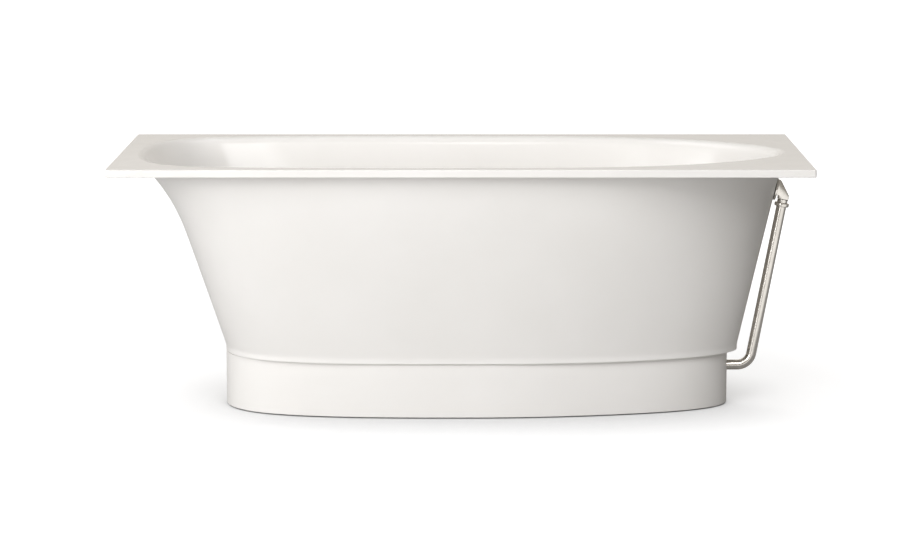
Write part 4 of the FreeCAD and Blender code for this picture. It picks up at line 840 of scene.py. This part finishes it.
def add_softbox(name, turn, rise, distance, size, power):
    """A softbox aimed at the bath: turn from the front towards the nose and rise, in degrees."""
    target = Vector((0.0, 0.0, 0.35))
    turn, rise = math.radians(turn), math.radians(rise)
    away = Vector((
        math.sin(turn) * math.cos(rise), -math.cos(turn) * math.cos(rise), math.sin(rise)))
    light = bpy.data.lights.new(name, "AREA")
    light.shape = "RECTANGLE"
    light.size, light.size_y = size
    light.energy = power
    light.color = LAMP_COLOUR
    softbox = bpy.data.objects.new(name, light)
    softbox.location = target + distance * away
    softbox.rotation_euler = (-away).to_track_quat("-Z", "Y").to_euler()
    softbox.visible_camera = False
    softbox.visible_glossy = name not in NO_GLARE
    bpy.context.scene.collection.objects.link(softbox)


LAMP_COLOUR, WALL_COLOUR = (0.975, 0.98, 1.0), (1.0, 0.945, 0.875)
SOFTBOXES = {                                   # turn, rise, distance in metres, size, power
    "key_low_left": (-40, 12, 5.0, (4.0, 2.2), 124),
    "fill_low_left": (-15, 12, 5.0, (2.4, 2.0), 27),
    "fill_front_left": (-15, 35, 5.0, (2.4, 2.4), 29),
    "fill_front_right": (15, 35, 5.0, (2.4, 2.4), 65),
    "end_low_left": (-90, 12, 5.0, (2.4, 2.0), 42),
    "end_high_left": (-90, 60, 5.0, (2.4, 2.4), 24),
    "overhead": (0, 90, 4.0, (3.4, 3.4), 42),
}
NO_GLARE = ("end_low_left", "fill_low_left")    # the deck would mirror them, seen from the nose
WALLS = {                                       # axis, side and strength of each lit wall
    "toe_wall": ("X", -1.0, 0.08), "front_wall": ("Y", -1.0, 0.32), "back_wall": ("Y", 1.0, 0.70),
}
PHOTO_WIDTH, FOCAL_LENGTH, SIDE_SHIFT = 920.0, 3081.3, -11.87    # in the photograph's pixels
FILM_WIDTH = 36.0                               # millimetres
CAMERA_PLACE, CAMERA_DIP = (0.0267, -7.6706, 1.5665), 9.077      # metres, and degrees downward


def make_studio():
    """Lit walls round the bath, softboxes, and the photograph's camera."""
    scene = bpy.context.scene
    world = bpy.data.worlds.new("studio")
    scene.world = world
    world.use_nodes = True
    tree = world.node_tree
    tree.nodes.clear()
    direction = add_node(tree, "ShaderNodeTexCoord").outputs["Generated"]
    parts = add_node(tree, "ShaderNodeSeparateXYZ", {"Vector": direction})
    walls = 0.0
    for axis, side, strength in WALLS.values():
        wall = remap(tree, parts.outputs[axis], 0.0, 0.9 * side, 0.0, strength, "SMOOTHSTEP")
        walls = worked_out(tree, "ADD", walls, wall)
    plain = add_node(tree, "ShaderNodeBackground", {"Color": (1.0, 1.0, 1.0, 1.0), "Strength": 1.1})
    room = add_node(tree, "ShaderNodeBackground", {"Color": (*WALL_COLOUR, 1.0), "Strength": walls})
    seen = add_node(tree, "ShaderNodeLightPath").outputs["Is Camera Ray"]
    mix = add_node(tree, "ShaderNodeMixShader", {0: seen, 1: room.outputs[0], 2: plain.outputs[0]})
    add_node(tree, "ShaderNodeOutputWorld", {"Surface": mix.outputs[0]})
    for name, (turn, rise, distance, size, power) in SOFTBOXES.items():
        add_softbox(name, turn, rise, distance, size, power)

    camera_data = bpy.data.cameras.new("camera")
    camera_data.sensor_width = FILM_WIDTH
    camera_data.lens = FOCAL_LENGTH / PHOTO_WIDTH * FILM_WIDTH
    camera_data.shift_x = SIDE_SHIFT / PHOTO_WIDTH
    camera_data.clip_end = 100.0
    camera = bpy.data.objects.new("camera", camera_data)
    camera.location = CAMERA_PLACE
    camera.rotation_euler = (math.radians(90.0 - CAMERA_DIP), 0.0, 0.0)
    scene.collection.objects.link(camera)
    scene.camera = camera
    scene.view_settings.view_transform = "Standard"


dress_nodes()
make_basin()
make_plinth()
make_joint_bead()
make_overflow_pipe()
make_overflow_cover()
make_overflow_screw()
make_overflow_collar()
make_overflow_elbow()
make_waste_flange()
make_plug_cap()
make_floor()
make_studio()
